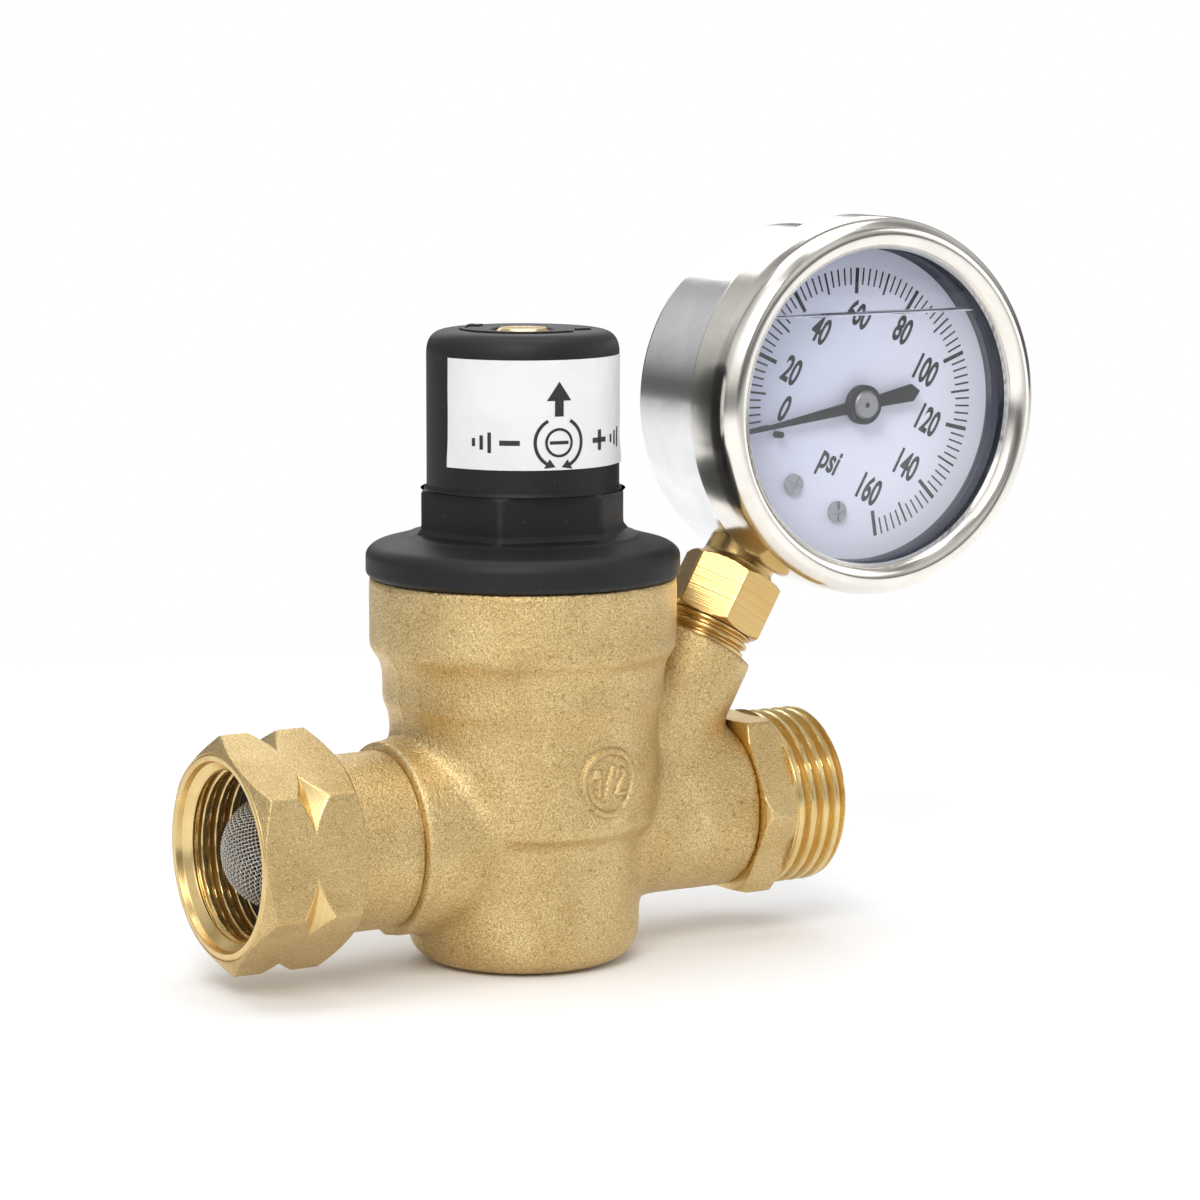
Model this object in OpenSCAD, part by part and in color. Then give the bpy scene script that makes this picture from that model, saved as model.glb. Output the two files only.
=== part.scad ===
/* [Body casting] */
// height of the pipe axis above the flat base, mm
pipe_height = 20.3; // [20:0.1:21]
// radius of the closed cup at the bottom, mm
cup_radius = 17.4; // [17:0.1:17.8]
// radius of the main barrel, mm
barrel_radius = 20; // [19.7:0.1:20.3]
// radius of the step above the barrel, mm
tier_radius = 21; // [20.7:0.1:21.3]
// radius of the collar that takes the bonnet, mm
collar_radius = 22.9; // [22.6:0.1:23.2]
// outside radius of the inlet boss, mm
inlet_boss_radius = 14.4; // [14:0.1:15]
// outside radius of the outlet boss, mm
outlet_boss_radius = 12.8; // [12.4:0.1:13.2]

/* [Pipe ends] */
// distance from the body axis to the inlet face, mm
inlet_reach = 51; // [50.5:0.5:52]
// distance from the body axis to the outlet face, mm
outlet_reach = 50; // [49.5:0.5:51]
// width across the flats of the inlet nut, mm
inlet_flats = 30.6; // [30:0.2:32]
// outside radius of the outlet hose thread, mm
hose_thread_radius = 13.45; // [13.3:0.05:13.6]
// width across the flats of the outlet hexagon, mm
outlet_flats = 26.4; // [26:0.2:27]

/* [Bonnet] */
// radius of the bonnet flange, mm
flange_radius = 23.4; // [23.3:0.1:23.8]
// width across the flats of the bonnet hexagon, mm
bonnet_flats = 27.4; // [27:0.2:28]
// radius of the round cap, mm
cap_radius = 14.3; // [14.1:0.1:14.6]

/* [Gauge] */
// turn of the dial in its case, clockwise off the stem, degrees
dial_turn = 6; // [0:1:10]
// lean of the gauge stem away from the body axis, degrees
stem_lean = 30; // [28:1:32]
// radius of the gauge bezel, mm
bezel_radius = 28.7; // [28.5:0.1:29]
// radius of the opening in the bezel, mm
window_radius = 23.8; // [23.5:0.1:24]
// length of the pointer from its axis to its tip, mm
pointer_length = 21.4; // [20:0.2:22]

/* [Adjustment] */
// lead of the adjusting screw, mm per turn
screw_lead = 1.25; // [1:0.25:1.5]
// outside radius of the adjusting screw, mm
screw_radius = 4; // [3.8:0.1:4]
// radius of the spring wire, mm
spring_wire_radius = 1.2; // [1:0.1:1.3]

/* [Display] */
// the piece to draw

/* [Hidden] */

$fn = 96;
// a little overshoot, so that cuts leave no skin
eps = 0.01;
// heights up the body axis
cup_top = 20.5;
barrel_top = 38.7;
tier_top = 46.3;
body_top = 58;
base_corner = 5;
chamber_floor = 4.5;
chamber_radius = 8;
seat_radius = 9;
seat_top = 25;
port_radius = 4.5;
cavity_radius = 12;
piston_bore = 15.5;
piston_floor = 36;
bonnet_seat = 50;
bonnet_thread = 19;
gasket_radius = 20.8;
gasket_height = 1;
// the cross bores
adapter_radius = 9.5;
flow_radius = 6.5;
passage_radius = 4.6;
inlet_boss_end = 24;
inlet_pocket_end = 15;
outlet_boss_end = 34.5;
outlet_pocket_end = 25;
seal_height = 1.5;
// inlet nut
nut_back = 34.5;
neck_radius = 13.1;
mouth_radius = 13.8;
mouth_depth = 1;
minor_radius = 12.45;
major_radius = 13.6;
thread_pitch = 2.209;
washer_seat = 39.4;
screen_gauge = 0.3;
washer_radius = 13.1;
washer_height = 1.8;
screen_radius = 8.6;
// outlet
outlet_hex_end = 40.2;
thread_root = 12.35;
outlet_bore = 8.6;
// bonnet
flange_top = 62.6;
hex_bottom = 63.4;
hex_top = 71;
cap_top = 94.5;
cap_corner = 3.2;
label_bottom = 75;
label_height = 16;
spring_bore = 11.5;
bushing_radius = 7;
bushing_bottom = 82;
bushing_top = 92.9;
// spring and screw
piston_low = 36.1;
piston_high = 42.1;
spring_radius = 9.4;
spring_turns = 6.5;
spring_top = 74;
button_top = 77;
button_dimple = 0.5;
screw_top = 94.7;
slot_angle = -38;
// gauge
stem_offset = 17;
boss_radius = 8.5;
boss_end = 29;
stem_thread = 6.15;
stem_flats = 14;
gauge_rise = 71;
case_radius = 26.5;
case_wall = 0.7;
case_back = 9.6;
case_rim = -11.2;
bezel_front = -19;
bezel_back = -8.4;
bezel_roll = 3;
lens_front = -16.2;
lens_back = -13.7;
dial_front = -8.6;
dial_gauge = 0.6;
dial_radius = 24.3;
dial_sweep = 270;
// gear train in the gauge
gear_module = 0.2;
pinion_teeth = 12;
sector_teeth = 96;
pinion_pitch_radius = gear_module * pinion_teeth / 2;
sector_pitch_radius = gear_module * sector_teeth / 2;
gear_distance = pinion_pitch_radius + sector_pitch_radius + 0.04;
sector_direction = -60;
sector_x = gear_distance * cos(sector_direction);
sector_z = gear_distance * sin(sector_direction);
sector_mid = dial_sweep * pinion_teeth / sector_teeth / 2;
tail_length = 5;
tube_tip_angle = -215;
tube_root_angle = 84;
zero_angle = dial_turn - dial_sweep / 2;
stop_angle = zero_angle - 5.2;
pointer_back = -10.1;
cap_back = -11.4;
link_direction = 160;
plate_front = -6.4;
plate_back = 1;
plate_gauge = 0.8;
tube_radius = 16.6;
tube_depth = 3;
link_length = 14.9;
// where the tail's hole stands at rest and half way, and where the link's far end stands half way
tail_x = sector_x + (tail_length - 1) * cos(250 - sector_mid);
tail_z = sector_z + (tail_length - 1) * sin(250 - sector_mid);
link_end_x = sector_x + (tail_length - 1) * cos(250) + link_length * cos(link_direction);
link_end_z = sector_z + (tail_length - 1) * sin(250) + link_length * sin(link_direction);

// ---------------------------------------------------------------- helpers

// turns a shape drawn up Z so that it runs along +X at the pipe's height
module along_pipe() {
    translate([0, 0, pipe_height])
        rotate([0, 90, 0])
            children();
}

// turns a shape drawn up Z so that it runs along -X at the pipe's height
module against_pipe() {
    translate([0, 0, pipe_height])
        rotate([0, -90, 0])
            children();
}

// puts a shape drawn up Z on the leaning gauge stem
module on_stem() {
    translate([stem_offset, 0, pipe_height])
        rotate([0, stem_lean, 0])
            children();
}

// puts a shape drawn in the gauge's own frame in place: Z up the dial, -Y to the reader
module in_gauge() {
    on_stem()
        translate([0, 0, gauge_rise])
            children();
}

// runs a shape drawn up Z along +Y, starting at y
module along_y(y) {
    translate([0, y, 0])
        rotate([-90, 0, 0])
            children();
}

// stands a flat drawing upright, facing the reader, and thickens it from y towards the reader
module facing(y, thick) {
    translate([0, y, 0])
        rotate([90, 0, 0])
            linear_extrude(height = thick)
                children();
}

// a ring drawn as a square section
module washer(outer, inner, height) {
    difference() {
        cylinder(r = outer, h = height);
        translate([0, 0, -eps])
            cylinder(r = inner, h = height + 2 * eps);
    }
}

// a ring drawn as a round section
module oring(mean, section) {
    rotate_extrude()
        translate([mean, 0])
            circle(r = section, $fn = 48);
}

// a hexagonal bar with its top corners, and if asked its bottom ones, turned off at 30 degrees
module hex_bar(flats, height, turned, low = true) {
    corner = flats / sqrt(3);
    drop = (corner - turned) * tan(30);
    intersection() {
        cylinder(r = corner, h = height, $fn = 6);
        rotate_extrude()
            polygon([[0, 0], [low ? turned : corner + 1, 0], [corner + 1, low ? drop + tan(30) : 0],
                [corner + 1, height - drop - tan(30)], [turned, height], [0, height]]);
    }
}

// ring grooves of a female thread, drawn up Z from the mouth
module female_grooves(first, count) {
    for (k = [0 : count - 1]) {
        translate([0, 0, first + k * thread_pitch])
            rotate_extrude()
                polygon([[minor_radius - 1, -0.9], [major_radius, -0.12], [major_radius, 0.12],
                    [minor_radius - 1, 0.9]]);
    }
}

// ring grooves of a male thread, drawn up Z
module male_grooves(first, count) {
    for (k = [0 : count - 1]) {
        translate([0, 0, first + k * thread_pitch])
            rotate_extrude()
                polygon([[thread_root, -0.12], [hose_thread_radius + 0.4, -0.98],
                    [hose_thread_radius + 0.4, 0.98], [thread_root, 0.12]]);
    }
}

// ---------------------------------------------------------------- body and ports

module body_outline() {
    difference() {
        union() {
            polygon([[0, 0], [cup_radius - base_corner, 0], [cup_radius, base_corner],
                [cup_radius, cup_top - 0.8], [barrel_radius, cup_top + 0.8],
                [barrel_radius, barrel_top - 0.4], [tier_radius, barrel_top + 0.4],
                [tier_radius, tier_top - 1], [collar_radius, tier_top + 1],
                [collar_radius, body_top], [0, body_top]]);
            translate([cup_radius - base_corner, base_corner])
                circle(r = base_corner);
        }
        translate([-cup_radius, -1])
            square([cup_radius, body_top + 2]);
    }
}

// a rod between two points in the XZ plane
module leaning_rod(x1, z1, x2, z2, radius) {
    translate([x1, 0, z1])
        rotate([0, atan2(x2 - x1, z2 - z1), 0])
            cylinder(r = radius, h = norm([x2 - x1, z2 - z1]));
}

module valve_body() {
    color("#c8a04e")
        difference() {
            union() {
                rotate_extrude()
                    body_outline();
                against_pipe()
                    cylinder(r = inlet_boss_radius, h = inlet_boss_end);
                along_pipe()
                    cylinder(r = outlet_boss_radius, h = outlet_boss_end);
                on_stem()
                    cylinder(r = boss_radius, h = boss_end);
            }
            translate([0, 0, chamber_floor])
                cylinder(r = chamber_radius, h = cup_top);
            translate([0, 0, cup_top])
                cylinder(r = seat_radius, h = seat_top - cup_top);
            translate([0, 0, seat_top - eps])
                cylinder(r = cavity_radius, h = piston_floor - seat_top + 2 * eps);
            translate([0, 0, piston_floor])
                cylinder(r = piston_bore, h = bonnet_seat - piston_floor + eps);
            translate([0, 0, bonnet_seat])
                cylinder(r = bonnet_thread + 0.05, h = body_top - bonnet_seat + eps);
            translate([0, 0, body_top - gasket_height])
                cylinder(r = gasket_radius, h = gasket_height + eps);
            against_pipe()
                translate([0, 0, inlet_pocket_end])
                    cylinder(r = adapter_radius, h = inlet_boss_end);
            against_pipe()
                translate([0, 0, inlet_pocket_end - 2])
                    cylinder(r = flow_radius, h = 3);
            leaning_rod(-16, pipe_height - 2.8, 0, 10, passage_radius);
            along_pipe()
                translate([0, 0, outlet_pocket_end])
                    cylinder(r = adapter_radius, h = inlet_boss_end);
            along_pipe()
                translate([0, 0, inlet_pocket_end])
                    cylinder(r = flow_radius, h = outlet_pocket_end - inlet_pocket_end + 1);
            leaning_rod(19, pipe_height + 3.2, 5, 34.5, passage_radius);
            on_stem()
                cylinder(r = 2.5, h = boss_end);
            on_stem()
                translate([0, 0, 17.5])
                    cylinder(r = stem_thread, h = boss_end);
        }
}

module seat_ring() {
    color("#c2953f")
        difference() {
            union() {
                translate([0, 0, cup_top])
                    cylinder(r = seat_radius, h = 3.6);
                translate([0, 0, cup_top - 1])
                    cylinder(r = port_radius + 0.9, h = 1 + eps);
            }
            cylinder(r = port_radius, h = body_top);
            translate([0, 0, cup_top + 1])
                washer(seat_radius + 1, seat_radius - 1.4, 1.5);
            translate([-seat_radius, -0.9, cup_top + 2.6])
                cube([2 * seat_radius, 1.8, 2]);
        }
}

module seat_oring() {
    color("#1b1b1b")
        translate([0, 0, cup_top + 1.75])
            oring(seat_radius - 0.72, 0.68);
}

module inlet_adapter() {
    color("#d1a650")
        against_pipe()
            difference() {
                union() {
                    translate([0, 0, inlet_pocket_end + seal_height])
                        cylinder(r = adapter_radius, h = inlet_boss_end - inlet_pocket_end);
                    translate([0, 0, inlet_boss_end])
                        cylinder(r = neck_radius, h = nut_back - inlet_boss_end + 1);
                    difference() {
                        translate([0, 0, nut_back])
                            rotate([0, 0, 6])
                                hex_bar(inlet_flats, inlet_reach - nut_back, 15);
                        translate([0, 0, (nut_back + inlet_reach) / 2])
                            rotate_extrude()
                                polygon([[15.6, 0], [18.4, -3.5], [18.4, 3.5]]);
                    }
                }
                translate([0, 0, inlet_reach - mouth_depth])
                    cylinder(r = mouth_radius, h = mouth_depth + eps);
                translate([0, 0, inlet_reach - mouth_depth - 1])
                    cylinder(r1 = minor_radius, r2 = mouth_radius, h = 1 + eps);
                translate([0, 0, washer_seat])
                    cylinder(r = minor_radius, h = inlet_reach);
                translate([0, 0, inlet_reach])
                    rotate([180, 0, 0])
                        female_grooves(2.1, 4);
                translate([0, 0, washer_seat])
                    cylinder(r = major_radius, h = 2.2);
                cylinder(r = flow_radius, h = inlet_reach);
            }
}

module inlet_seal_ring() {
    color("#7d2f22")
        against_pipe()
            translate([0, 0, inlet_pocket_end])
                washer(adapter_radius, flow_radius, seal_height);
}

module hose_washer() {
    color("#202020")
        against_pipe()
            translate([0, 0, washer_seat + screen_gauge])
                washer(washer_radius, screen_radius + 0.3, washer_height);
}

module filter_screen() {
    bar = 0.6;
    gap = 2;
    color("#b9bcc0")
        against_pipe() {
            translate([0, 0, washer_seat])
                washer(major_radius - 0.4, screen_radius - 1, screen_gauge);
            intersection() {
                difference() {
                    union() {
                        translate([0, 0, washer_seat + screen_gauge / 2])
                            cylinder(r = screen_radius, h = 1.8);
                        translate([0, 0, washer_seat + 1.6])
                            sphere(r = screen_radius);
                    }
                    translate([0, 0, washer_seat - eps])
                        cylinder(r = screen_radius - screen_gauge, h = 1.8);
                    translate([0, 0, washer_seat + 1.6])
                        sphere(r = screen_radius - screen_gauge);
                }
                union() {
                    translate([-10, -10, washer_seat])
                        cube([20, 20, 2.5]);
                    for (k = [-4 : 4]) {
                        translate([k * gap - bar / 2, -10, washer_seat])
                            cube([bar, 20, 12]);
                        translate([-10, k * gap - bar / 2, washer_seat])
                            cube([20, bar, 12]);
                    }
                }
            }
        }
}

module outlet_adapter() {
    color("#d1a650")
        along_pipe()
            difference() {
                union() {
                    translate([0, 0, outlet_pocket_end + seal_height])
                        cylinder(r = adapter_radius, h = outlet_boss_end - outlet_pocket_end);
                    translate([0, 0, outlet_boss_end])
                        rotate([0, 0, 30])
                            hex_bar(outlet_flats, outlet_hex_end - outlet_boss_end, 13.9);
                    translate([0, 0, outlet_hex_end - 1])
                        rotate_extrude()
                            polygon([[0, 0], [thread_root, 0], [thread_root, 1],
                                [hose_thread_radius, 1],
                                [hose_thread_radius, outlet_reach - outlet_hex_end + 0.5],
                                [thread_root + 0.5, outlet_reach - outlet_hex_end + 1],
                                [0, outlet_reach - outlet_hex_end + 1]]);
                }
                translate([0, 0, outlet_reach])
                    rotate([180, 0, 0])
                        male_grooves(1.85, 4);
                cylinder(r = flow_radius, h = outlet_reach + 1);
                translate([0, 0, outlet_boss_end + 1])
                    cylinder(r = outlet_bore, h = outlet_reach);
            }
}

module outlet_seal_ring() {
    color("#7d2f22")
        along_pipe()
            translate([0, 0, outlet_pocket_end])
                washer(adapter_radius, flow_radius, seal_height);
}

// ---------------------------------------------------------------- bonnet and adjuster

module bonnet() {
    color("#1d1e20")
        difference() {
            union() {
                translate([0, 0, bonnet_seat + 0.1])
                    cylinder(r = bonnet_thread, h = body_top - bonnet_seat);
                translate([0, 0, body_top])
                    rotate_extrude()
                        polygon([[0, 0], [flange_radius - 0.5, 0], [flange_radius, 0.5],
                            [flange_radius, flange_top - body_top - 0.9],
                            [flange_radius - 0.9, flange_top - body_top],
                            [flange_radius - 5, hex_bottom - body_top], [0, hex_bottom - body_top]]);
                translate([0, 0, hex_bottom - 2])
                    rotate([0, 0, 47])
                        hex_bar(bonnet_flats, hex_top - hex_bottom + 2, 15.2, false);
                translate([0, 0, hex_top - 1])
                    rotate_extrude()
                        union() {
                            square([cap_radius, cap_top - hex_top + 1 - cap_corner]);
                            square([cap_radius - cap_corner, cap_top - hex_top + 1]);
                            translate([cap_radius - cap_corner, cap_top - hex_top + 1 - cap_corner])
                                circle(r = cap_corner);
                        }
                translate([0, 0, cap_top - 0.5])
                    rotate([0, 0, 130])
                        rotate_extrude(angle = 170)
                            translate([7.6, 0])
                                square([0.9, 0.9]);
                translate([0, 0, cap_top - 0.5])
                    rotate([0, 0, 300])
                        translate([8.05, 1.2, 0])
                            rotate([0, 0, 90])
                                cylinder(r = 1.7, h = 0.9, $fn = 3);
                translate([0, 0, cap_top - 0.5])
                    rotate([0, 0, 100])
                        translate([8, 0, 0.45]) {
                            cube([2.6, 0.7, 0.9], center = true);
                            cube([0.7, 2.6, 0.9], center = true);
                        }
                translate([0, 0, cap_top - 0.5])
                    rotate([0, 0, 330])
                        translate([8, 0, 0.45])
                            cube([0.7, 2.6, 0.9], center = true);
            }
            translate([0, 0, bonnet_seat - 1])
                cylinder(r = spring_bore, h = bushing_bottom - bonnet_seat + 1);
            translate([0, 0, bushing_bottom - eps])
                cylinder(r = bushing_radius, h = bushing_top - bushing_bottom + eps);
            translate([0, 0, bushing_top - eps])
                cylinder(r = screw_radius + 0.5, h = 5);
        }
}

module bonnet_gasket() {
    color("#141414")
        translate([0, 0, body_top - gasket_height])
            washer(gasket_radius, bonnet_thread + 0.05, gasket_height);
}

module screw_bushing() {
    color("#b98d3d")
        difference() {
            union() {
                translate([0, 0, bushing_bottom])
                    cylinder(r = bushing_radius - 0.4, h = bushing_top - bushing_bottom);
                for (z = [0 : 2]) {
                    translate([0, 0, bushing_bottom + z * 4])
                        cylinder(r = bushing_radius, h = 2.9);
                }
            }
            translate([0, 0, bushing_bottom - 1])
                cylinder(r = screw_radius + 0.05, h = 20);
        }
}

module label() {
    color("#f4f4f2")
        translate([0, 0, label_bottom])
            rotate([0, 0, 190])
                rotate_extrude(angle = 132)
                    translate([cap_radius, 0])
                        square([0.12, label_height]);
}

module adjusting_screw() {
    thread_depth = 0.6;
    color("#d0a54d")
        difference() {
            union() {
                translate([0, 0, button_top - button_dimple])
                    cylinder(r1 = 1.8, r2 = 2.6, h = 0.8);
                translate([0, 0, button_top - button_dimple + 0.8 - eps])
                    cylinder(r = 2.6, h = 1.2);
                translate([0, 0, button_top + 1])
                    cylinder(r = screw_radius, h = screw_top - button_top - 1.5);
                translate([0, 0, screw_top - 0.5 - eps])
                    cylinder(r1 = screw_radius, r2 = screw_radius - 0.5, h = 0.5);
            }
            for (k = [0 : 10]) {
                translate([0, 0, button_top + 2 + k * screw_lead])
                    rotate_extrude()
                        polygon([[screw_radius - thread_depth, 0], [screw_radius + 0.2, -0.5],
                            [screw_radius + 0.2, 0.5]]);
            }
            rotate([0, 0, slot_angle])
                translate([-5, -0.6, screw_top - 1.6])
                    cube([10, 1.2, 3]);
        }
}

module spring_button() {
    color("#bfa36a")
        difference() {
            union() {
                translate([0, 0, spring_top])
                    cylinder(r = spring_bore - 0.08, h = button_top - spring_top);
                translate([0, 0, spring_top - 2.4])
                    cylinder(r = 7.4, h = 2.6);
            }
            translate([0, 0, button_top - button_dimple])
                cylinder(r = 2.65, h = 2);
            translate([0, 0, spring_top - 3])
                cylinder(r = 3.4, h = 3);
        }
}

// the round wire of a coil, cut by a level plane
function coil_section(turn, count) = concat(
    [for (k = [0 : count]) let (s = -1 + 2 * k / count, a = s * spring_wire_radius * 360 / turn,
        w = spring_wire_radius * sqrt(max(0, 1 - s * s))) [(spring_radius + w) * cos(a),
        (spring_radius + w) * sin(a)]],
    [for (k = [count - 1 : -1 : 1]) let (s = -1 + 2 * k / count, a = s * spring_wire_radius * 360 / turn,
        w = spring_wire_radius * sqrt(max(0, 1 - s * s))) [(spring_radius - w) * cos(a),
        (spring_radius - w) * sin(a)]]);

module main_spring() {
    free = spring_top - piston_high;
    lead = free / spring_turns;
    color("#8d9196")
        translate([0, 0, piston_high])
            linear_extrude(height = free, twist = -360 * spring_turns, slices = 24 * spring_turns, $fn = 16)
                polygon(coil_section(lead, 8));
}

// ---------------------------------------------------------------- piston and poppet

module piston() {
    color("#c79a43")
        difference() {
            union() {
                translate([0, 0, piston_low])
                    cylinder(r = piston_bore - 0.06, h = piston_high - piston_low);
                translate([0, 0, piston_high - eps])
                    cylinder(r = 7.4, h = 2.6);
            }
            translate([0, 0, piston_low + 2.2])
                washer(piston_bore + 1, piston_bore - 2.6, 2.5);
            translate([0, 0, piston_low - 1])
                cylinder(r = 2.2, h = 6);
            translate([0, 0, piston_low - 1])
                washer(piston_bore - 3.4, 4.4, 2);
        }
}

module piston_oring() {
    color("#161616")
        translate([0, 0, piston_low + 3.45])
            oring(piston_bore - 1.34, 1.22);
}

module piston_stem() {
    color("#a9acb1")
        union() {
            translate([0, 0, 9])
                cylinder(r = 2.2, h = piston_low + 5 - 9);
            translate([0, 0, piston_low - 1.4])
                cylinder(r = 3.4, h = 1.4);
        }
}

module poppet_holder() {
    color("#c79a43")
        difference() {
            translate([0, 0, 12.6])
                cylinder(r = 6.5, h = 4.3);
            translate([0, 0, 15])
                cylinder(r = 6, h = 4);
            translate([0, 0, 12])
                cylinder(r = 2.2, h = 6);
        }
}

module poppet_disc() {
    color("#191919")
        translate([0, 0, 15])
            washer(6, 2.2, 2.4);
}

module stem_nut() {
    color("#a9acb1")
        difference() {
            translate([0, 0, 9.8])
                cylinder(r = 4, h = 2.8, $fn = 6);
            translate([0, 0, 9])
                cylinder(r = 2.2, h = 4);
        }
}

// ---------------------------------------------------------------- gauge

module gauge_socket() {
    color("#cda24c")
        on_stem()
            difference() {
                union() {
                    translate([0, 0, 18])
                        cylinder(r = stem_thread, h = 15);
                    for (k = [0 : 1]) {
                        translate([0, 0, boss_end + 0.5 + k * 1.41])
                            cylinder(r1 = stem_thread, r2 = stem_thread + 0.6, h = 0.7);
                        translate([0, 0, boss_end + 1.2 + k * 1.41])
                            cylinder(r1 = stem_thread + 0.6, r2 = stem_thread, h = 0.7);
                    }
                    translate([0, 0, 32.4])
                        rotate([0, 0, 12])
                            hex_bar(stem_flats, 9, 7.2);
                    translate([0, 0, 41])
                        cylinder(r = 5.5, h = gauge_rise - 41 - 23);
                    translate([-5, -1, gauge_rise - 24])
                        cube([10, 8, 12]);
                }
                translate([0, 0, 17])
                    cylinder(r = 1.5, h = 30);
                translate([0, 0, 40])
                    cylinder(r = 0.7, h = gauge_rise - 14.5 - 40);
                translate([0, 1, gauge_rise - tube_radius])
                    rotate([0, 90, 0])
                        cylinder(r = 0.7, h = 3);
                translate([0, 0, gauge_rise])
                    tube_sweep(1.1, 3.6);
            }
}

module gauge_case() {
    color("#b8babd")
        in_gauge()
            difference() {
                union() {
                    along_y(case_rim)
                        cylinder(r = case_radius, h = case_back - case_rim - 2);
                    along_y(case_back - 2 - eps)
                        cylinder(r = case_radius - 2, h = 2 + eps);
                    along_y(case_back - 2)
                        oring(case_radius - 2, 2);
                }
                along_y(case_rim + 0.8)
                    cylinder(r = case_radius - case_wall, h = case_back - case_rim - 0.8 - 2);
                along_y(case_rim + 0.8)
                    cylinder(r = case_radius - 2, h = case_back - case_rim - 0.8 - case_wall);
                along_y(case_rim - 1)
                    cylinder(r = case_radius - 2, h = 3);
                translate([0, 0, -case_radius - 2])
                    cylinder(r = 5.5, h = 6);
                translate([0, 0, case_radius - 4])
                    cylinder(r = 3, h = 6);
            }
}

module fill_plug() {
    color("#1a1a1a")
        in_gauge() {
            translate([0, 0, case_radius - 1.4])
                cylinder(r = 3, h = 2);
            translate([0, 0, case_radius])
                cylinder(r = 4.4, h = 1.4);
        }
}

module gauge_bezel() {
    color("#d3d5d8")
        in_gauge()
            along_y(bezel_front)
                rotate_extrude()
                    difference() {
                        union() {
                            translate([case_radius, bezel_roll])
                                square([bezel_radius - case_radius,
                                    bezel_back - bezel_front - bezel_roll]);
                            translate([bezel_radius - bezel_roll, bezel_roll])
                                circle(r = bezel_roll);
                            translate([window_radius + 0.6, 0.9])
                                square([bezel_radius - bezel_roll - window_radius, 2]);
                            translate([window_radius + 0.9, 1.5])
                                circle(r = 0.9);
                        }
                        translate([window_radius - 4, lens_front - bezel_front])
                            square([case_radius + 0.2 - window_radius + 4, 20]);
                        square([window_radius, 20]);
                    }
}

module gauge_lens() {
    color([0.85, 0.93, 0.95, 0.35])
        in_gauge()
            along_y(lens_front)
                cylinder(r = case_radius - 0.1, h = lens_back - lens_front);
}

module lens_gasket() {
    color("#252a3a")
        in_gauge()
            along_y(lens_back) {
                washer(case_radius - 0.1, window_radius - 0.2, case_rim - lens_back);
                washer(case_radius - 2, window_radius - 0.2, dial_front - lens_back - 0.05);
            }
}

module gauge_dial() {
    color("#eceaf2")
        in_gauge()
            difference() {
                along_y(dial_front)
                    cylinder(r = dial_radius, h = dial_gauge);
                along_y(dial_front - 1)
                    cylinder(r = 1.6, h = 3);
                for (a = [-16, 16]) {
                    translate([16.7 * sin(a), 0, -16.7 * cos(a)])
                        along_y(dial_front - 1)
                            cylinder(r = 0.8, h = 3);
                }
                rotate([0, stop_angle, 0])
                    translate([0, 0, 15.6])
                        along_y(dial_front - 1)
                            cylinder(r = 0.5, h = 3);
            }
}

module dial_screws() {
    color("#b5b8bd")
        in_gauge()
            for (a = [-16, 16]) {
                translate([16.7 * sin(a), 0, -16.7 * cos(a)])
                    rotate([0, 30 + 2 * a, 0])
                        difference() {
                            union() {
                                along_y(dial_front - 0.8)
                                    cylinder(r = 1.6, h = 0.8);
                                along_y(dial_front - 0.1)
                                    cylinder(r = 0.8, h = 2.2);
                            }
                            translate([-2, dial_front - 1.2, -0.25])
                                cube([4, 0.8, 0.5]);
                            translate([-0.25, dial_front - 1.2, -2])
                                cube([0.5, 0.8, 4]);
                        }
            }
}

module stop_pin() {
    color("#2a2a2a")
        in_gauge()
            rotate([0, stop_angle, 0])
                translate([0, 0, 15.6])
                    along_y(dial_front - 2.4)
                        cylinder(r = 0.5, h = 3.2);
}

// the flattened section of the pressure tube
module tube_section(half_width, half_height) {
    translate([tube_radius, 0]) {
        square([2 * half_width, 2 * (half_height - half_width)], center = true);
        for (s = [-1, 1]) {
            translate([0, s * (half_height - half_width)])
                circle(r = half_width, $fn = 48);
        }
    }
}

// the part of a ring swept by the tube's section
module tube_sweep(half_width, half_height) {
    along_y(tube_depth)
        rotate([0, 0, tube_tip_angle])
            rotate_extrude(angle = tube_root_angle - tube_tip_angle)
                tube_section(half_width, half_height);
}

module bourdon_tube() {
    color("#c7a15a")
        in_gauge()
            difference() {
                tube_sweep(1.1, 3.6);
                tube_sweep(0.75, 3.25);
            }
}

module tube_tip() {
    color("#b9924c")
        in_gauge()
            difference() {
                along_y(tube_depth)
                    rotate([0, 0, tube_tip_angle]) {
                        translate([tube_radius - 1.5, -3, -4.4])
                            cube([3, 3, 8]);
                        translate([tube_radius - 5.9, -3, -4.4])
                            cube([5, 4.6, 0.7]);
                    }
                translate([link_end_x, 0, link_end_z])
                    facing(0.5, 3)
                        rotate(link_direction) {
                            square([2.8, 1.5], center = true);
                            translate([1.4, 0])
                                circle(r = 0.75, $fn = 48);
                            translate([-1.4, 0])
                                circle(r = 0.75, $fn = 48);
                        }
            }
}

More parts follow.
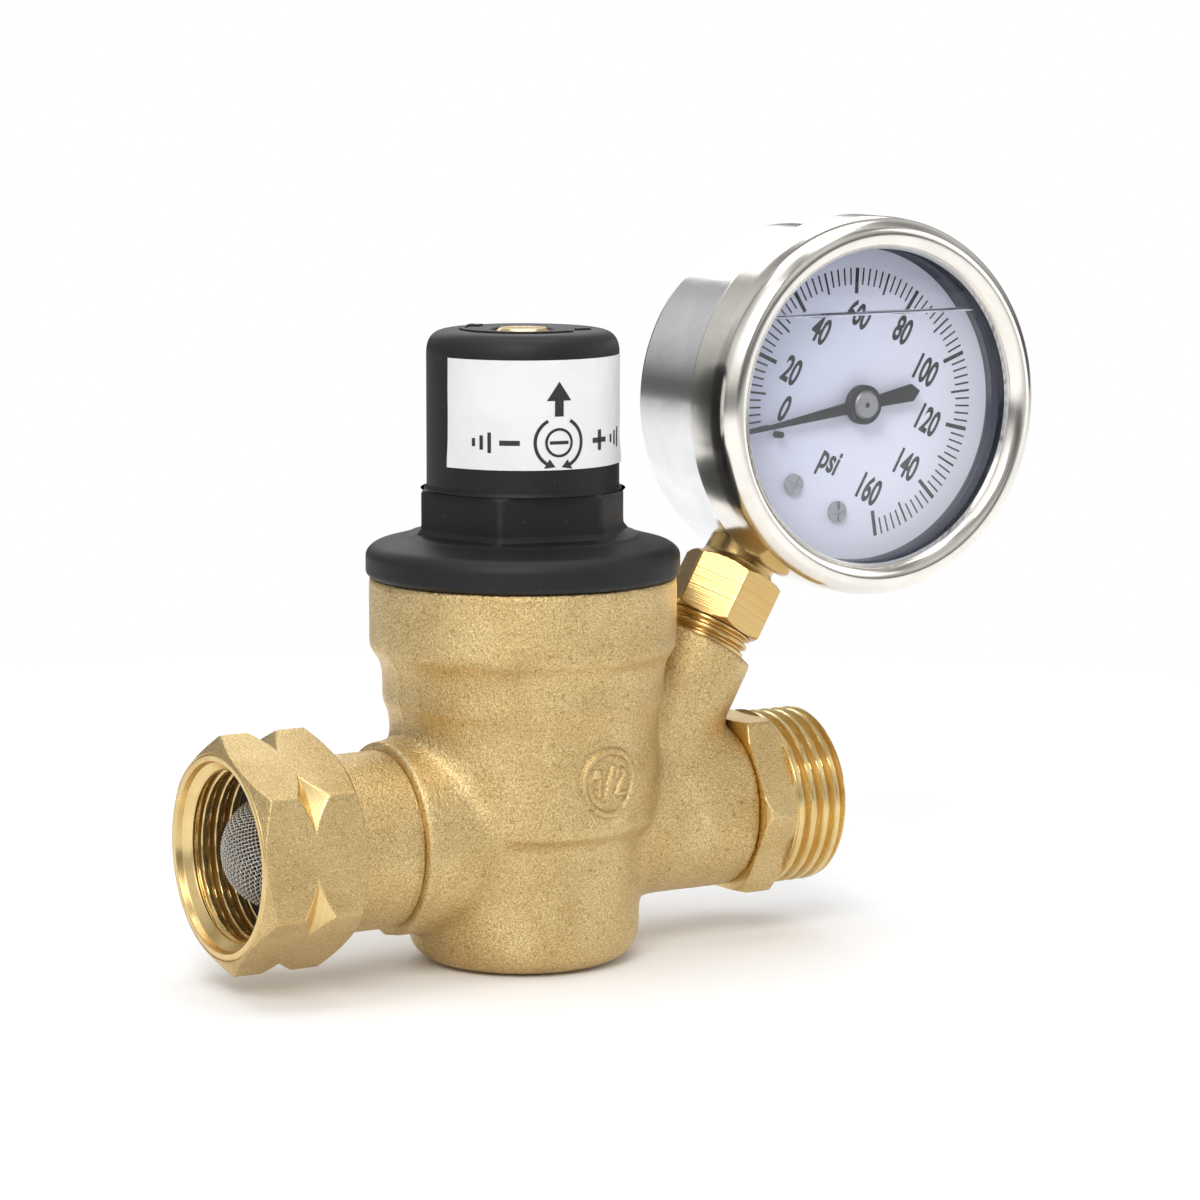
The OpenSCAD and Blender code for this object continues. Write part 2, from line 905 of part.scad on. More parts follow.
module movement_plates() {
    color("#c9a557")
        in_gauge()
            difference() {
                union() {
                    for (y = [plate_back + plate_gauge, plate_front + plate_gauge]) {
                        facing(y, plate_gauge)
                            polygon([[-6.4, -2.6], [-6.4, 2.4], [-3.4, 4.2], [3, 4.2], [10.6, -2],
                                [10.6, -10], [8.6, -12], [0.5, -12]]);
                    }
                    translate([8.5, 0, -4])
                        along_y(plate_front)
                            cylinder(r = 1.1, h = plate_back - plate_front + plate_gauge);
                    translate([-4.5, 0, -1])
                        along_y(plate_front)
                            cylinder(r = 1.1, h = plate_back - plate_front + plate_gauge);
                    for (a = [-16, 16]) {
                        translate([16.7 * sin(a), 0, -16.7 * cos(a)])
                            along_y(dial_front + dial_gauge)
                                cylinder(r = 1.2, h = -1 - dial_front - dial_gauge);
                    }
                }
                along_y(plate_front - 1)
                    cylinder(r = 0.93, h = 12);
                translate([sector_x, 0, sector_z])
                    along_y(plate_front - 1)
                        cylinder(r = 0.83, h = 12);
                for (a = [-16, 16]) {
                    translate([16.7 * sin(a), 0, -16.7 * cos(a)])
                        along_y(dial_front)
                            cylinder(r = 0.8, h = 2.4);
                }
            }
}

// one straight-flanked gear tooth, pointing up Z in the flat drawing
module tooth(pitch_radius, back_off) {
    half = gear_module * PI / 4 - back_off;
    lean = gear_module * tan(20);
    polygon([[-half - lean, pitch_radius - 1.2 * gear_module], [-half + 0.9 * lean,
        pitch_radius + 0.9 * gear_module], [half - 0.9 * lean, pitch_radius + 0.9 * gear_module],
        [half + lean, pitch_radius - 1.2 * gear_module]]);
}

module pinion_shaft() {
    color("#c9b06a")
        in_gauge() {
            along_y(cap_back)
                cylinder(r = 0.9, h = plate_back + 1.5 - cap_back);
            facing(-2.2, 2.6)
                union() {
                    circle(r = pinion_pitch_radius - 1.1 * gear_module);
                    for (k = [0 : pinion_teeth - 1]) {
                        rotate(360 / pinion_teeth * k)
                            tooth(pinion_pitch_radius, 0.03);
                    }
                }
        }
}

module pointer() {
    color("#101010")
        in_gauge()
            difference() {
                union() {
                    rotate([0, zero_angle, 0])
                        facing(pointer_back, 0.5)
                            polygon([[-0.95, -3], [-1.35, -9.2], [0, -10.6], [1.35, -9.2], [0.95, -3],
                                [0.95, 2], [0.2, pointer_length], [-0.2, pointer_length], [-0.95, 2]]);
                    along_y(cap_back)
                        cylinder(r = 3, h = 2);
                }
                along_y(cap_back - 1)
                    cylinder(r = 0.9, h = 5);
            }
}

module pointer_cap() {
    color("#c6c8cc")
        in_gauge()
            difference() {
                union() {
                    along_y(cap_back - 0.6)
                        cylinder(r = 2.2, h = 0.6);
                    along_y(cap_back - 0.9)
                        cylinder(r1 = 1.9, r2 = 2.2, h = 0.3 + eps);
                }
                along_y(cap_back - 1)
                    cylinder(r = 0.4, h = 0.4);
            }
}

module sector_gear() {
    root = sector_pitch_radius - 1.1 * gear_module;
    reach = 12;
    half = 25;
    color("#c9a557")
        in_gauge()
            translate([sector_x, 0, sector_z])
                rotate([0, sector_mid, 0]) {
                    along_y(plate_front - 0.2)
                        cylinder(r = 0.8, h = plate_back - plate_front + 0.8);
                    facing(-2.6, 1.8)
                        difference() {
                            rotate(90 + 30)
                                union() {
                                    rotate(-90)
                                        union() {
                                            intersection() {
                                                circle(r = root);
                                                polygon([[0, 0], [-reach * sin(half), reach * cos(half)],
                                                    [reach * sin(half), reach * cos(half)]]);
                                            }
                                            for (k = [-6 : 6]) {
                                                rotate(360 / sector_teeth * k)
                                                    tooth(sector_pitch_radius, 0.03);
                                            }
                                            circle(r = 1.8);
                                        }
                                    rotate(130)
                                        translate([0, -0.9])
                                            square([tail_length, 1.8]);
                                }
                            rotate(250)
                                translate([tail_length - 1, 0])
                                    circle(r = 0.5, $fn = 48);
                        }
                }
}

module gear_link() {
    color("#b78f46")
        in_gauge() {
            translate([tail_x, 0, tail_z]) {
                facing(-1.6, 0.8)
                    rotate(link_direction) {
                        translate([0, -0.8])
                            square([link_length, 1.6]);
                        circle(r = 0.8, $fn = 48);
                        translate([link_length, 0])
                            circle(r = 0.8, $fn = 48);
                    }
                along_y(-4.2)
                    cylinder(r = 0.46, h = 2.6);
                translate([link_length * cos(link_direction), 0, link_length * sin(link_direction)])
                    along_y(-2.4)
                        cylinder(r = 0.5, h = 1.8);
            }
        }
}

valve_body();
seat_ring();
seat_oring();
inlet_adapter();
inlet_seal_ring();
hose_washer();
filter_screen();
outlet_adapter();
outlet_seal_ring();
bonnet();
bonnet_gasket();
screw_bushing();
label();
piston();
piston_oring();
piston_stem();
poppet_holder();
poppet_disc();
stem_nut();
main_spring();
spring_button();
adjusting_screw();
gauge_socket();
gauge_case();
gauge_bezel();
gauge_lens();
lens_gasket();
gauge_dial();
dial_screws();
stop_pin();
fill_plug();
bourdon_tube();
tube_tip();
movement_plates();
pinion_shaft();
pointer();
pointer_cap();
sector_gear();
gear_link();
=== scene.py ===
"""Looks of the water pressure regulator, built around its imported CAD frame.

Lengths are written in millimetres and turned into metres when a mesh is made.
"""

import math

import bmesh
import bpy
import numpy as np
from mathutils import Matrix, Vector, noise


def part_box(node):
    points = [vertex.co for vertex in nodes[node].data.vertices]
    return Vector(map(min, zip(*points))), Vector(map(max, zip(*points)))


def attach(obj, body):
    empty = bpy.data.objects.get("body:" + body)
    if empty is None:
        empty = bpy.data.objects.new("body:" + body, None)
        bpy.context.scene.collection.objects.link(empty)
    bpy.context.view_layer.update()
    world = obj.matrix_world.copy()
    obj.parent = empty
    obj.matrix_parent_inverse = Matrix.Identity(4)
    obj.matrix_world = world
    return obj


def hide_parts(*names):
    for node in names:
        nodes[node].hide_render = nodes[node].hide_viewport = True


MM = 0.001
TAU = 2 * math.pi
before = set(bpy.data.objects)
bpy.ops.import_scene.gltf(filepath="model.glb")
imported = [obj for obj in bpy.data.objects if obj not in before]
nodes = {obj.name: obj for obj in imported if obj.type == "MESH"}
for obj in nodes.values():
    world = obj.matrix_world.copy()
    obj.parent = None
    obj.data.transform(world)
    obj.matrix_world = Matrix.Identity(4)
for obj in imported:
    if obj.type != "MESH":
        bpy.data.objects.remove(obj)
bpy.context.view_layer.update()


# ---- places


def middle(node):
    """The middle of a CAD node's box, in millimetres."""
    low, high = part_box(node)
    return (low + high) / 2 / MM


def edge(node, side, axis):
    """One side of a CAD node's box, in millimetres: side 0 is the low one."""
    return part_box(node)[side][axis] / MM


LEAN = math.radians(30)
STEM_FOOT = 17.0
PIPE_Z = middle("outlet_adapter").z
GAUGE_AT = middle("gauge_bezel")
RISE = (GAUGE_AT.x - STEM_FOOT) / math.sin(LEAN)
UPRIGHT = Matrix.Identity(4)
ALONG = Matrix.Translation((0, 0, PIPE_Z)) @ Matrix.Rotation(math.radians(90), 4, "Y")
AGAINST = Matrix.Translation((0, 0, PIPE_Z)) @ Matrix.Rotation(math.radians(-90), 4, "Y")
STEM = Matrix.Translation((STEM_FOOT, 0, PIPE_Z)) @ Matrix.Rotation(LEAN, 4, "Y")
GAUGE = STEM @ Matrix.Translation((0, 0, RISE))
DIAL = GAUGE @ Matrix.Rotation(math.radians(-90), 4, "X")


# ---- material helpers


class Shader:
    """The nodes of a material, or of a world, under construction."""

    def __init__(self, name, store=bpy.data.materials, surface="Principled BSDF", place="Object"):
        self.owner = store.new(name)
        self.owner.use_nodes = True
        self.tree = self.owner.node_tree
        self.surface = self.tree.nodes[surface]
        self.place = self.add("TexCoord").outputs[place]

    def add(self, kind, **values):
        made = self.tree.nodes.new("ShaderNode" + kind)
        for key, value in values.items():
            if hasattr(made, key):
                setattr(made, key, value)
            else:
                self.put(made, key, value)
        return made

    def put(self, made, key, value):
        socket = made.inputs[int(key[1:])] if key[0] == "i" and key[1:].isdigit() else made.inputs[key]
        if isinstance(value, bpy.types.NodeSocket):
            self.tree.links.new(value, socket)
        else:
            socket.default_value = value

    def noise(self, scale, detail=3.0, rough=0.55, place=None, warp=0.0):
        made = self.add("TexNoise", Scale=scale, Detail=detail, Roughness=rough, Distortion=warp)
        self.put(made, "Vector", place or self.place)
        return made.outputs["Fac"]

    def stretch(self, x, y, z):
        """The object's own coordinates, scaled unevenly."""
        return self.add("Mapping", Vector=self.place, Scale=(x, y, z)).outputs["Vector"]

    def ramp(self, value, *stops):
        made = self.add("ValToRGB", Fac=value)
        ramp = made.color_ramp
        while len(ramp.elements) < len(stops):
            ramp.elements.new(0.5)
        for element, (at, colour) in zip(ramp.elements, stops):
            element.position = at
            shade = (colour,) * 3 if isinstance(colour, (int, float)) else colour
            element.color = (*shade, 1)
        return made.outputs["Color"]

    def maths(self, what, a, b, clamp=False):
        made = self.add("Math", operation=what, use_clamp=clamp)
        self.put(made, "i0", a)
        self.put(made, "i1", b)
        return made.outputs["Value"]

    def vary(self, level, cloud, share):
        """A level raised by a share of a noise."""
        return self.maths("ADD", level, self.maths("MULTIPLY", cloud, share))

    def mix(self, share, a, b, how="MIX"):
        made = self.add("Mix", data_type="RGBA", blend_type=how)
        self.put(made, "i0", share)
        self.put(made, "i6", a if not isinstance(a, tuple) else (*a, 1))
        self.put(made, "i7", b if not isinstance(b, tuple) else (*b, 1))
        return made.outputs[2]

    def bump(self, height, strength, depth, under=None):
        made = self.add("Bump", Strength=strength, Distance=depth * MM, Height=height)
        if under is not None:
            self.put(made, "Normal", under)
        return made.outputs["Normal"]

    def finish(self, **values):
        for key, value in values.items():
            self.put(self.surface, key.replace("_", " "), value)
        return self.owner

    def blend(self, share, one, two):
        """Ends the material in a mix of two shader nodes."""
        mixed = self.add("MixShader", Fac=share)
        self.put(mixed, "i1", one.outputs["BSDF"])
        self.put(mixed, "i2", two.outputs["BSDF"])
        self.tree.links.new(mixed.outputs["Shader"], self.tree.nodes["Material Output"].inputs["Surface"])
        return self.owner


def per_mm(size):
    """Noise scale whose features are about this many millimetres."""
    return 1 / (size * MM)


def along(shader, direction):
    """Distance along a direction of the row frame, in metres."""
    made = shader.add("VectorMath", operation="DOT_PRODUCT")
    shader.put(made, "i0", shader.place)
    made.inputs[1].default_value = direction
    return made.outputs["Value"]


def lathe_lines(shader, direction, pitch):
    """Fine turning lines across a direction: a line noise with a little waviness."""
    far = along(shader, direction)
    moved = shader.vary(far, shader.noise(per_mm(6), 1.0), 0.06 * MM)
    line = shader.add("TexNoise", noise_dimensions="1D", Scale=per_mm(pitch), Detail=2.0, Roughness=0.5)
    shader.put(line, "W", moved)
    return line.outputs["Fac"]


# ---- materials

BRASS_LIGHT = (0.80, 0.63, 0.33)
BRASS_MID = (0.68, 0.505, 0.235)
CREASE_SHADE_BROWN = (0.31, 0.205, 0.095)


# The last argument scales both the painted crease shade and the dark pits.
def blasted_brass(name, coarse, depth, shade_and_pits=1.0):
    s = Shader(name)
    grain = s.noise(per_mm(coarse), 4.0, 0.62)
    fine = s.noise(per_mm(coarse * 0.42), 2.0, 0.6)
    lumps = s.noise(per_mm(2.6), 3.0, 0.55)
    blotch = s.noise(per_mm(13), 3.0, 0.6, warp=0.6)
    base = s.ramp(blotch, (0.32, BRASS_MID), (0.62, BRASS_LIGHT))
    base = s.mix(0.8, base, s.ramp(fine, (0.34, (0.46, 0.37, 0.25)), (0.60, (1.0, 1.0, 1.0))), "MULTIPLY")
    base = s.mix(s.ramp(fine, (0.66, 0.0), (0.74, 0.6)), base, (1.0, 0.93, 0.72))
    # Painted shade: hollows found by pointiness are mixed towards brown, standing in for the shade that
    # gathers in creases.
    crease = s.add("NewGeometry").outputs["Pointiness"]
    crease_shade_mask = s.ramp(crease, (0.44, 1.0), (0.497, 0.0))
    painted_crease_shade = s.maths("MULTIPLY", crease_shade_mask, 0.4 * shade_and_pits, True)
    base = s.mix(painted_crease_shade, base, CREASE_SHADE_BROWN)
    pits = s.ramp(s.noise(per_mm(1.1), 2.0), (0.30, 1.0), (0.34, 0.0))
    base = s.mix(s.maths("MULTIPLY", pits, 0.5 * shade_and_pits), base, (0.30, 0.17, 0.06))
    rough = s.vary(0.33, grain, 0.2)
    coarse_bump = s.bump(lumps, 0.5, 0.22)
    fine_bump = s.bump(grain, 0.9, depth, coarse_bump)
    return s.finish(Base_Color=base, Metallic=1.0, Roughness=rough, Normal=fine_bump)


def turned_brass(name, direction, pitch=0.16, rough=0.2, tint=(0.80, 0.61, 0.29), depth=0.018):
    s = Shader(name)
    lines = lathe_lines(s, direction, pitch)
    tarnish = s.noise(per_mm(7), 4.0, 0.6, warp=0.8)
    base = s.mix(s.ramp(tarnish, (0.42, 0.0), (0.78, 0.7)), tint, (0.66, 0.42, 0.15))
    base = s.mix(0.35, base, s.ramp(lines, (0.3, (0.62, 0.55, 0.45)), (0.6, (1, 1, 1))), "MULTIPLY")
    nicks = s.noise(per_mm(0.5), 2.0, place=s.stretch(1, 1, 0.2))
    roughness = s.vary(rough, tarnish, 0.16)
    normal = s.bump(lines, 0.5, depth, s.bump(nicks, 0.12, 0.03))
    return s.finish(Base_Color=base, Metallic=1.0, Roughness=roughness, Normal=normal)


def steel(name, tint, rough, smear, direction=(0, 1, 0), pitch=0.12, strength=0.12):
    s = Shader(name)
    lines = lathe_lines(s, direction, pitch)
    haze = s.noise(per_mm(9), 4.0, 0.65, warp=1.2)
    base = s.mix(s.ramp(haze, (0.35, 0.0), (0.8, 1.0)), tint, tuple(c * 0.86 for c in tint))
    roughness = s.vary(rough, haze, smear)
    dents = s.bump(s.noise(per_mm(14), 1.0), 0.22, 0.12)
    normal = s.bump(lines, strength, 0.012, dents)
    return s.finish(Base_Color=base, Metallic=1.0, Roughness=roughness, Normal=normal)


def moulded_plastic(name, shade, rough):
    s = Shader(name)
    cloud = s.noise(per_mm(8), 4.0, 0.6)
    base = s.ramp(cloud, (0.3, tuple(c * 0.75 for c in shade)), (0.75, tuple(c * 1.35 for c in shade)))
    dust = s.ramp(s.noise(per_mm(0.55), 2.0), (0.70, 0.0), (0.74, 0.55))
    base = s.mix(dust, base, (0.06, 0.06, 0.062))
    # Painted highlight: convex edges found by pointiness are lifted towards grey, standing in for light
    # caught on the edges.
    crease = s.add("NewGeometry").outputs["Pointiness"]
    painted_edge_highlight = s.ramp(crease, (0.505, 0.0), (0.54, 0.35))
    base = s.mix(painted_edge_highlight, base, (0.045, 0.045, 0.047))
    roughness = s.vary(rough, cloud, 0.14)
    normal = s.bump(s.noise(per_mm(0.28), 3.0), 0.35, 0.03, s.bump(cloud, 0.2, 0.12))
    return s.finish(Base_Color=base, Roughness=roughness, Specular_IOR_Level=0.3, Normal=normal)


def rubber(name, shade):
    s = Shader(name)
    cloud = s.noise(per_mm(3), 4.0, 0.65)
    base = s.ramp(cloud, (0.3, tuple(c * 0.7 for c in shade)), (0.7, tuple(c * 1.4 for c in shade)))
    normal = s.bump(s.noise(per_mm(0.2), 3.0), 0.4, 0.02)
    return s.finish(Base_Color=base, Roughness=s.vary(0.5, cloud, 0.25), Normal=normal)


def fibre(name):
    s = Shader(name)
    threads = s.noise(per_mm(0.5), 5.0, 0.7, place=s.stretch(1, 0.25, 1), warp=1.5)
    base = s.ramp(threads, (0.3, (0.26, 0.05, 0.03)), (0.7, (0.52, 0.14, 0.09)))
    return s.finish(Base_Color=base, Roughness=0.85, Normal=s.bump(threads, 0.5, 0.05))


def paper(name):
    s = Shader(name)
    pulp = s.noise(per_mm(0.35), 4.0, 0.6)
    cloud = s.noise(per_mm(9), 2.0)
    base = s.ramp(cloud, (0.3, (0.70, 0.70, 0.71)), (0.7, (0.76, 0.76, 0.76)))
    normal = s.bump(pulp, 0.25, 0.01, s.bump(cloud, 0.15, 0.15))
    return s.finish(Base_Color=base, Roughness=s.vary(0.3, pulp, 0.15), Normal=normal)


def ink(name, shade, rough):
    s = Shader(name)
    spread = s.noise(per_mm(0.3), 3.0)
    base = s.ramp(spread, (0.35, shade), (0.75, tuple(c * 2.6 for c in shade)))
    return s.finish(Base_Color=base, Roughness=s.vary(rough, spread, 0.15), Normal=s.bump(spread, 0.15, 0.01))


def dial_paint(name):
    s = Shader(name)
    # Painted shade: a ramp across the dial, about 50 mm wide, darker on the left and lighter on the right,
    # stands in for how the light falls on it.
    across = along(s, (math.cos(LEAN), 0, -math.sin(LEAN)))
    at = GAUGE_AT.x * MM * math.cos(LEAN) - GAUGE_AT.z * MM * math.sin(LEAN)
    share = s.maths("ADD", s.maths("MULTIPLY", s.maths("SUBTRACT", across, at), 1 / (50 * MM)), 0.5)
    base = s.ramp(share, (0.0, (0.60, 0.62, 0.80)), (1.0, (0.86, 0.87, 0.97)))
    mottle = s.noise(per_mm(0.6), 4.0)
    base = s.mix(0.08, base, s.ramp(mottle, (0.3, 0.6), (0.7, 1.0)), "MULTIPLY")
    return s.finish(Base_Color=base, Roughness=0.38, Normal=s.bump(mottle, 0.12, 0.01))


def clear(name, ior, tint, haze):
    """Clear stuff that lets light reach what lies behind it."""
    s = Shader(name)
    smear = s.noise(per_mm(11), 3.0, 0.6, warp=1.0)
    s.finish(Base_Color=(*tint, 1), Transmission_Weight=1.0, IOR=ior,
             Roughness=s.maths("MULTIPLY", s.ramp(smear, (0.5, 0.0), (0.9, 1.0)), haze))
    rays = s.add("LightPath")
    passing = s.maths("MAXIMUM", rays.outputs["Is Shadow Ray"], rays.outputs["Is Diffuse Ray"])
    return s.blend(passing, s.surface, s.add("BsdfTransparent", Color=(*tint, 1)))


def spring_wire(name):
    s = Shader(name)
    drawn = s.noise(per_mm(0.7), 4.0, place=s.stretch(1, 1, 4))
    base = s.ramp(drawn, (0.3, (0.30, 0.31, 0.33)), (0.7, (0.55, 0.56, 0.58)))
    return s.finish(Base_Color=base, Metallic=1.0, Roughness=0.3, Normal=s.bump(drawn, 0.2, 0.02))


X_WAY = (1, 0, 0)
UP_WAY = (0, 0, 1)
STEM_WAY = (math.sin(LEAN), 0, math.cos(LEAN))
cast = blasted_brass("cast_brass_blasted", 0.55, 0.26)
nut_skin = blasted_brass("brass_fine_blasted", 0.42, 0.12, 0.35)
pipe_turned = turned_brass("brass_turned_pipe", X_WAY)
# Painted shade: the bore behind the inlet thread gets a near-black, rougher brass, standing in for the shade
# deep inside the mouth.
bore_brass_painted_shade = turned_brass("brass_dull_bore_painted_shade", X_WAY, 0.3, 0.5, (0.13, 0.085, 0.04))
stem_turned = turned_brass("brass_turned_stem", STEM_WAY, 0.34, 0.24, (0.66, 0.46, 0.19), 0.07)
upright_turned = turned_brass("brass_turned_upright", UP_WAY, 0.2, 0.2)
dial_turned = turned_brass("brass_turned_dial", (0, 1, 0), 0.2, 0.25)
screw_brass = turned_brass("brass_screw_top", (0.62, 0.78, 0.0), 0.3, 0.2, (0.85, 0.70, 0.42))
bezel_steel = steel("steel_polished_bezel", (0.85, 0.815, 0.75), 0.11, 0.12)
case_steel = steel("steel_drawn_case", (0.80, 0.80, 0.80), 0.09, 0.14, strength=0.2)
small_steel = steel("steel_small_parts", (0.42, 0.42, 0.44), 0.25, 0.15)
wire = steel("steel_woven_wire", (0.5, 0.475, 0.43), 0.3, 0.14, X_WAY, 0.3)
spring = spring_wire("steel_spring_wire")
plastic = moulded_plastic("plastic_black_moulded", (0.0075, 0.0075, 0.0085), 0.46)
black_rubber = rubber("rubber_black", (0.02, 0.02, 0.021))
gasket_rubber = rubber("rubber_slate", (0.018, 0.023, 0.045))
red_fibre = fibre("fibre_red")
label_paper = paper("label_film_white")
label_ink = ink("label_print", (0.01, 0.01, 0.011), 0.4)
dial_ink = ink("dial_print", (0.008, 0.008, 0.01), 0.5)
needle_paint = ink("needle_black", (0.006, 0.006, 0.007), 0.6)
dial_white = dial_paint("dial_lavender_white_painted_shading")
lens_glass = clear("glass_lens", 1.5, (0.985, 0.99, 0.99), 0.02)
fill_liquid = clear("glycerine_fill", 1.46, (0.965, 0.97, 0.985), 0.0)

CAD_FINISH = {
    cast: ["valve_body"],
    upright_turned: ["seat_ring", "screw_bushing", "piston", "poppet_holder", "spring_button"],
    pipe_turned: ["inlet_adapter", "outlet_adapter"],
    stem_turned: ["gauge_socket"],
    screw_brass: ["adjusting_screw"],
    dial_turned: ["bourdon_tube", "tube_tip", "movement_plates", "pinion_shaft", "sector_gear", "gear_link"],
    black_rubber: ["seat_oring", "hose_washer", "bonnet_gasket", "piston_oring", "poppet_disc", "fill_plug"],
    gasket_rubber: ["lens_gasket"],
    red_fibre: ["inlet_seal_ring", "outlet_seal_ring"],
    plastic: ["bonnet"],
    label_paper: ["label"],
    small_steel: ["piston_stem", "stem_nut", "dial_screws", "pointer_cap"],
    spring: ["main_spring"],
    wire: ["filter_screen"],
    case_steel: ["gauge_case"],
    bezel_steel: ["gauge_bezel"],
    lens_glass: ["gauge_lens"],
    dial_white: ["gauge_dial"],
    needle_paint: ["stop_pin", "pointer"],
}
SMOOTH_ANGLE = math.radians(32)
for material, names in CAD_FINISH.items():
    for name in names:
        node = nodes[name]
        node.data.materials.clear()
        node.data.materials.append(material)
        weld = node.modifiers.new("weld", "WELD")
        weld.merge_threshold = 0.004 * MM
        if name != "main_spring":
            bevel = node.modifiers.new("bevel", "BEVEL")
            bevel.width = 0.09 * MM
            bevel.segments = 2
            bevel.limit_method = "ANGLE"
            bevel.angle_limit = SMOOTH_ANGLE
            bevel.harden_normals = False


# ---- mesh helpers


def signed_volume(co, faces):
    """Positive if the faces of a closed mesh look outwards."""
    total = 0.0
    for face in faces:
        a = co[face[:, 0]]
        for k in range(1, face.shape[1] - 1):
            total += np.einsum("ij,ij->i", a, np.cross(co[face[:, k]], co[face[:, k + 1]])).sum()
    return total


def make(name, co, faces, place, body, materials, replaces=(), index=None,
         closed=True, sharp=SMOOTH_ANGLE):
    """A smooth-shaded piece from points in millimetres and lists of equal-sided faces."""
    co = np.asarray(co, float).reshape(-1, 3)
    co = co @ np.array(place.to_3x3()).T + np.array(place.translation)
    if closed and signed_volume(co, faces) < 0:
        faces = [face[:, ::-1] for face in faces]
    mesh = bpy.data.meshes.new(name)
    mesh.from_pydata((co * MM).tolist(), [], [f for face in faces for f in face.tolist()])
    for material in materials:
        mesh.materials.append(material)
    mesh.polygons.foreach_set("use_smooth", np.ones(len(mesh.polygons), bool))
    if index is not None:
        mesh.polygons.foreach_set("material_index", np.asarray(index, np.int32))
    mesh.update()
    mesh.set_sharp_from_angle(angle=sharp)
    return dress(bpy.data.objects.new(name, mesh), body, replaces)


def dress(piece, body, replaces=()):
    """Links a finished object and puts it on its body."""
    if piece.name not in bpy.context.scene.collection.objects:
        bpy.context.scene.collection.objects.link(piece)
    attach(piece, body)
    if replaces:
        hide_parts(*replaces)
    return piece


def from_bmesh(name, made, material):
    """An object of a finished bmesh, with one material."""
    mesh = bpy.data.meshes.new(name)
    made.to_mesh(mesh)
    made.free()
    mesh.materials.append(material)
    return bpy.data.objects.new(name, mesh)


def soften(points, steps=4, loop=False):
    """A profile of (axial, radius, corner radius) with its corners rounded."""
    made = []
    count = len(points)
    for i, (a, r, corner) in enumerate(points):
        here = np.array([a, r])
        if corner == 0 or (not loop and i in (0, count - 1)):
            made.append(here)
            continue
        back = np.array(points[i - 1][:2]) - here
        ahead = np.array(points[(i + 1) % count][:2]) - here
        reach = min(corner, 0.46 * np.linalg.norm(back), 0.46 * np.linalg.norm(ahead))
        start = here + back / np.linalg.norm(back) * reach
        stop = here + ahead / np.linalg.norm(ahead) * reach
        for s in np.linspace(0, 1, steps + 1):
            made.append((1 - s) ** 2 * start + 2 * s * (1 - s) * here + s * s * stop)
    return [(p[0], p[1]) for p in made]


AROUND = 256


def lathe(name, stations, place, body, materials, replaces=(), count=AROUND, poles=False):
    """Turns stations of (axial, radius[, material]) about local Z. A radius may vary with the angle.
    With poles, the first and the last station lie on the axis; otherwise the profile closes on itself.
    Weighted normals keep broad faces flat-looking between rounded edges."""
    turn = np.arange(count) * TAU / count
    rows = stations[1:-1] if poles else stations
    a = np.array([np.broadcast_to(row[0], count) for row in rows], float)
    r = np.array([np.broadcast_to(row[1], count) for row in rows], float)
    kind = np.array([np.broadcast_to(row[2] if len(row) > 2 else 0, count) for row in rows])
    co = np.stack([r * np.cos(turn), r * np.sin(turn), a], -1).reshape(-1, 3)
    i = np.arange(len(rows) - 1 if poles else len(rows))[:, None]
    j = np.arange(count)[None, :]
    up, on = (i + 1) % len(rows), (j + 1) % count
    quads = np.stack([i * count + j, i * count + on, up * count + on, up * count + j], -1).reshape(-1, 4)
    faces = [quads]
    index = kind[: len(i)].reshape(-1)
    if poles:
        first, last = len(co), len(co) + 1
        co = np.vstack([co, [0, 0, stations[0][0]], [0, 0, stations[-1][0]]])
        ring = np.arange(count)
        step = (ring + 1) % count
        top = (len(rows) - 1) * count
        faces.append(np.stack([step, ring, np.full(count, first)], -1))
        faces.append(np.stack([top + ring, top + step, np.full(count, last)], -1))
        index = np.concatenate([index, kind[0], kind[-1]])
    piece = make(name, co, faces, place, body, materials, replaces, index)
    weighted = piece.modifiers.new("even", "WEIGHTED_NORMAL")
    weighted.keep_sharp = True
    weighted.weight = 80


HEX_HARDNESS = 110


def hexagon(flats, turned_by):
    """Radius of a hexagon at each angle, with slightly rounded corners."""
    turn = np.arange(AROUND) * TAU / AROUND
    total = sum(np.maximum(0, np.cos(turn - turned_by - k * TAU / 6)) ** HEX_HARDNESS for k in range(6))
    return flats / 2 * total ** (-1 / HEX_HARDNESS)


def softer_min(a, b, hardness=160):
    """The smaller of two radii, with a rounded change-over."""
    low = np.minimum(a, b)
    return low * ((a / low) ** -hardness + (b / low) ** -hardness) ** (-1 / hardness)


def smooth(x):
    x = np.clip(x, 0, 1)
    return x * x * (3 - 2 * x)


CHAMFER = math.tan(math.radians(30))
THREAD_STEP = 0.1


def hex_stations(start, stop, flats, turned_by, turned, kinds, low=True, notch=None):
    """A hexagonal bar, its ends turned off at 30 degrees, and perhaps a V groove (place, bottom radius)."""
    rise = (flats / math.sqrt(3) - turned) * CHAMFER + 0.25
    fine = list(np.arange(0, rise, 0.09))
    places = [start + d for d in fine] if low else [start]
    places += list(np.linspace(start + (rise if low else 0.2), stop - rise, 9))
    if notch:
        places += list(np.arange(notch[0] - 2.7, notch[0] + 2.75, 0.1))
    places += [stop - d for d in fine]
    shape = hexagon(flats, turned_by)
    rows = []
    for a in sorted(places):
        depth = min(stop - a, a - start) if low else stop - a
        cone = turned + depth / CHAMFER
        r = softer_min(shape, np.full(AROUND, cone))
        kind = np.where(cone < shape - 0.03, kinds[1], kinds[0])
        if notch:
            cut = notch[1] + 0.8 * abs(a - notch[0])
            kind = np.where(cut < r - 0.02, kinds[2], kind)
            r = softer_min(r, np.full(AROUND, cut), 400)
        rows.append((a, r, kind))
    return rows


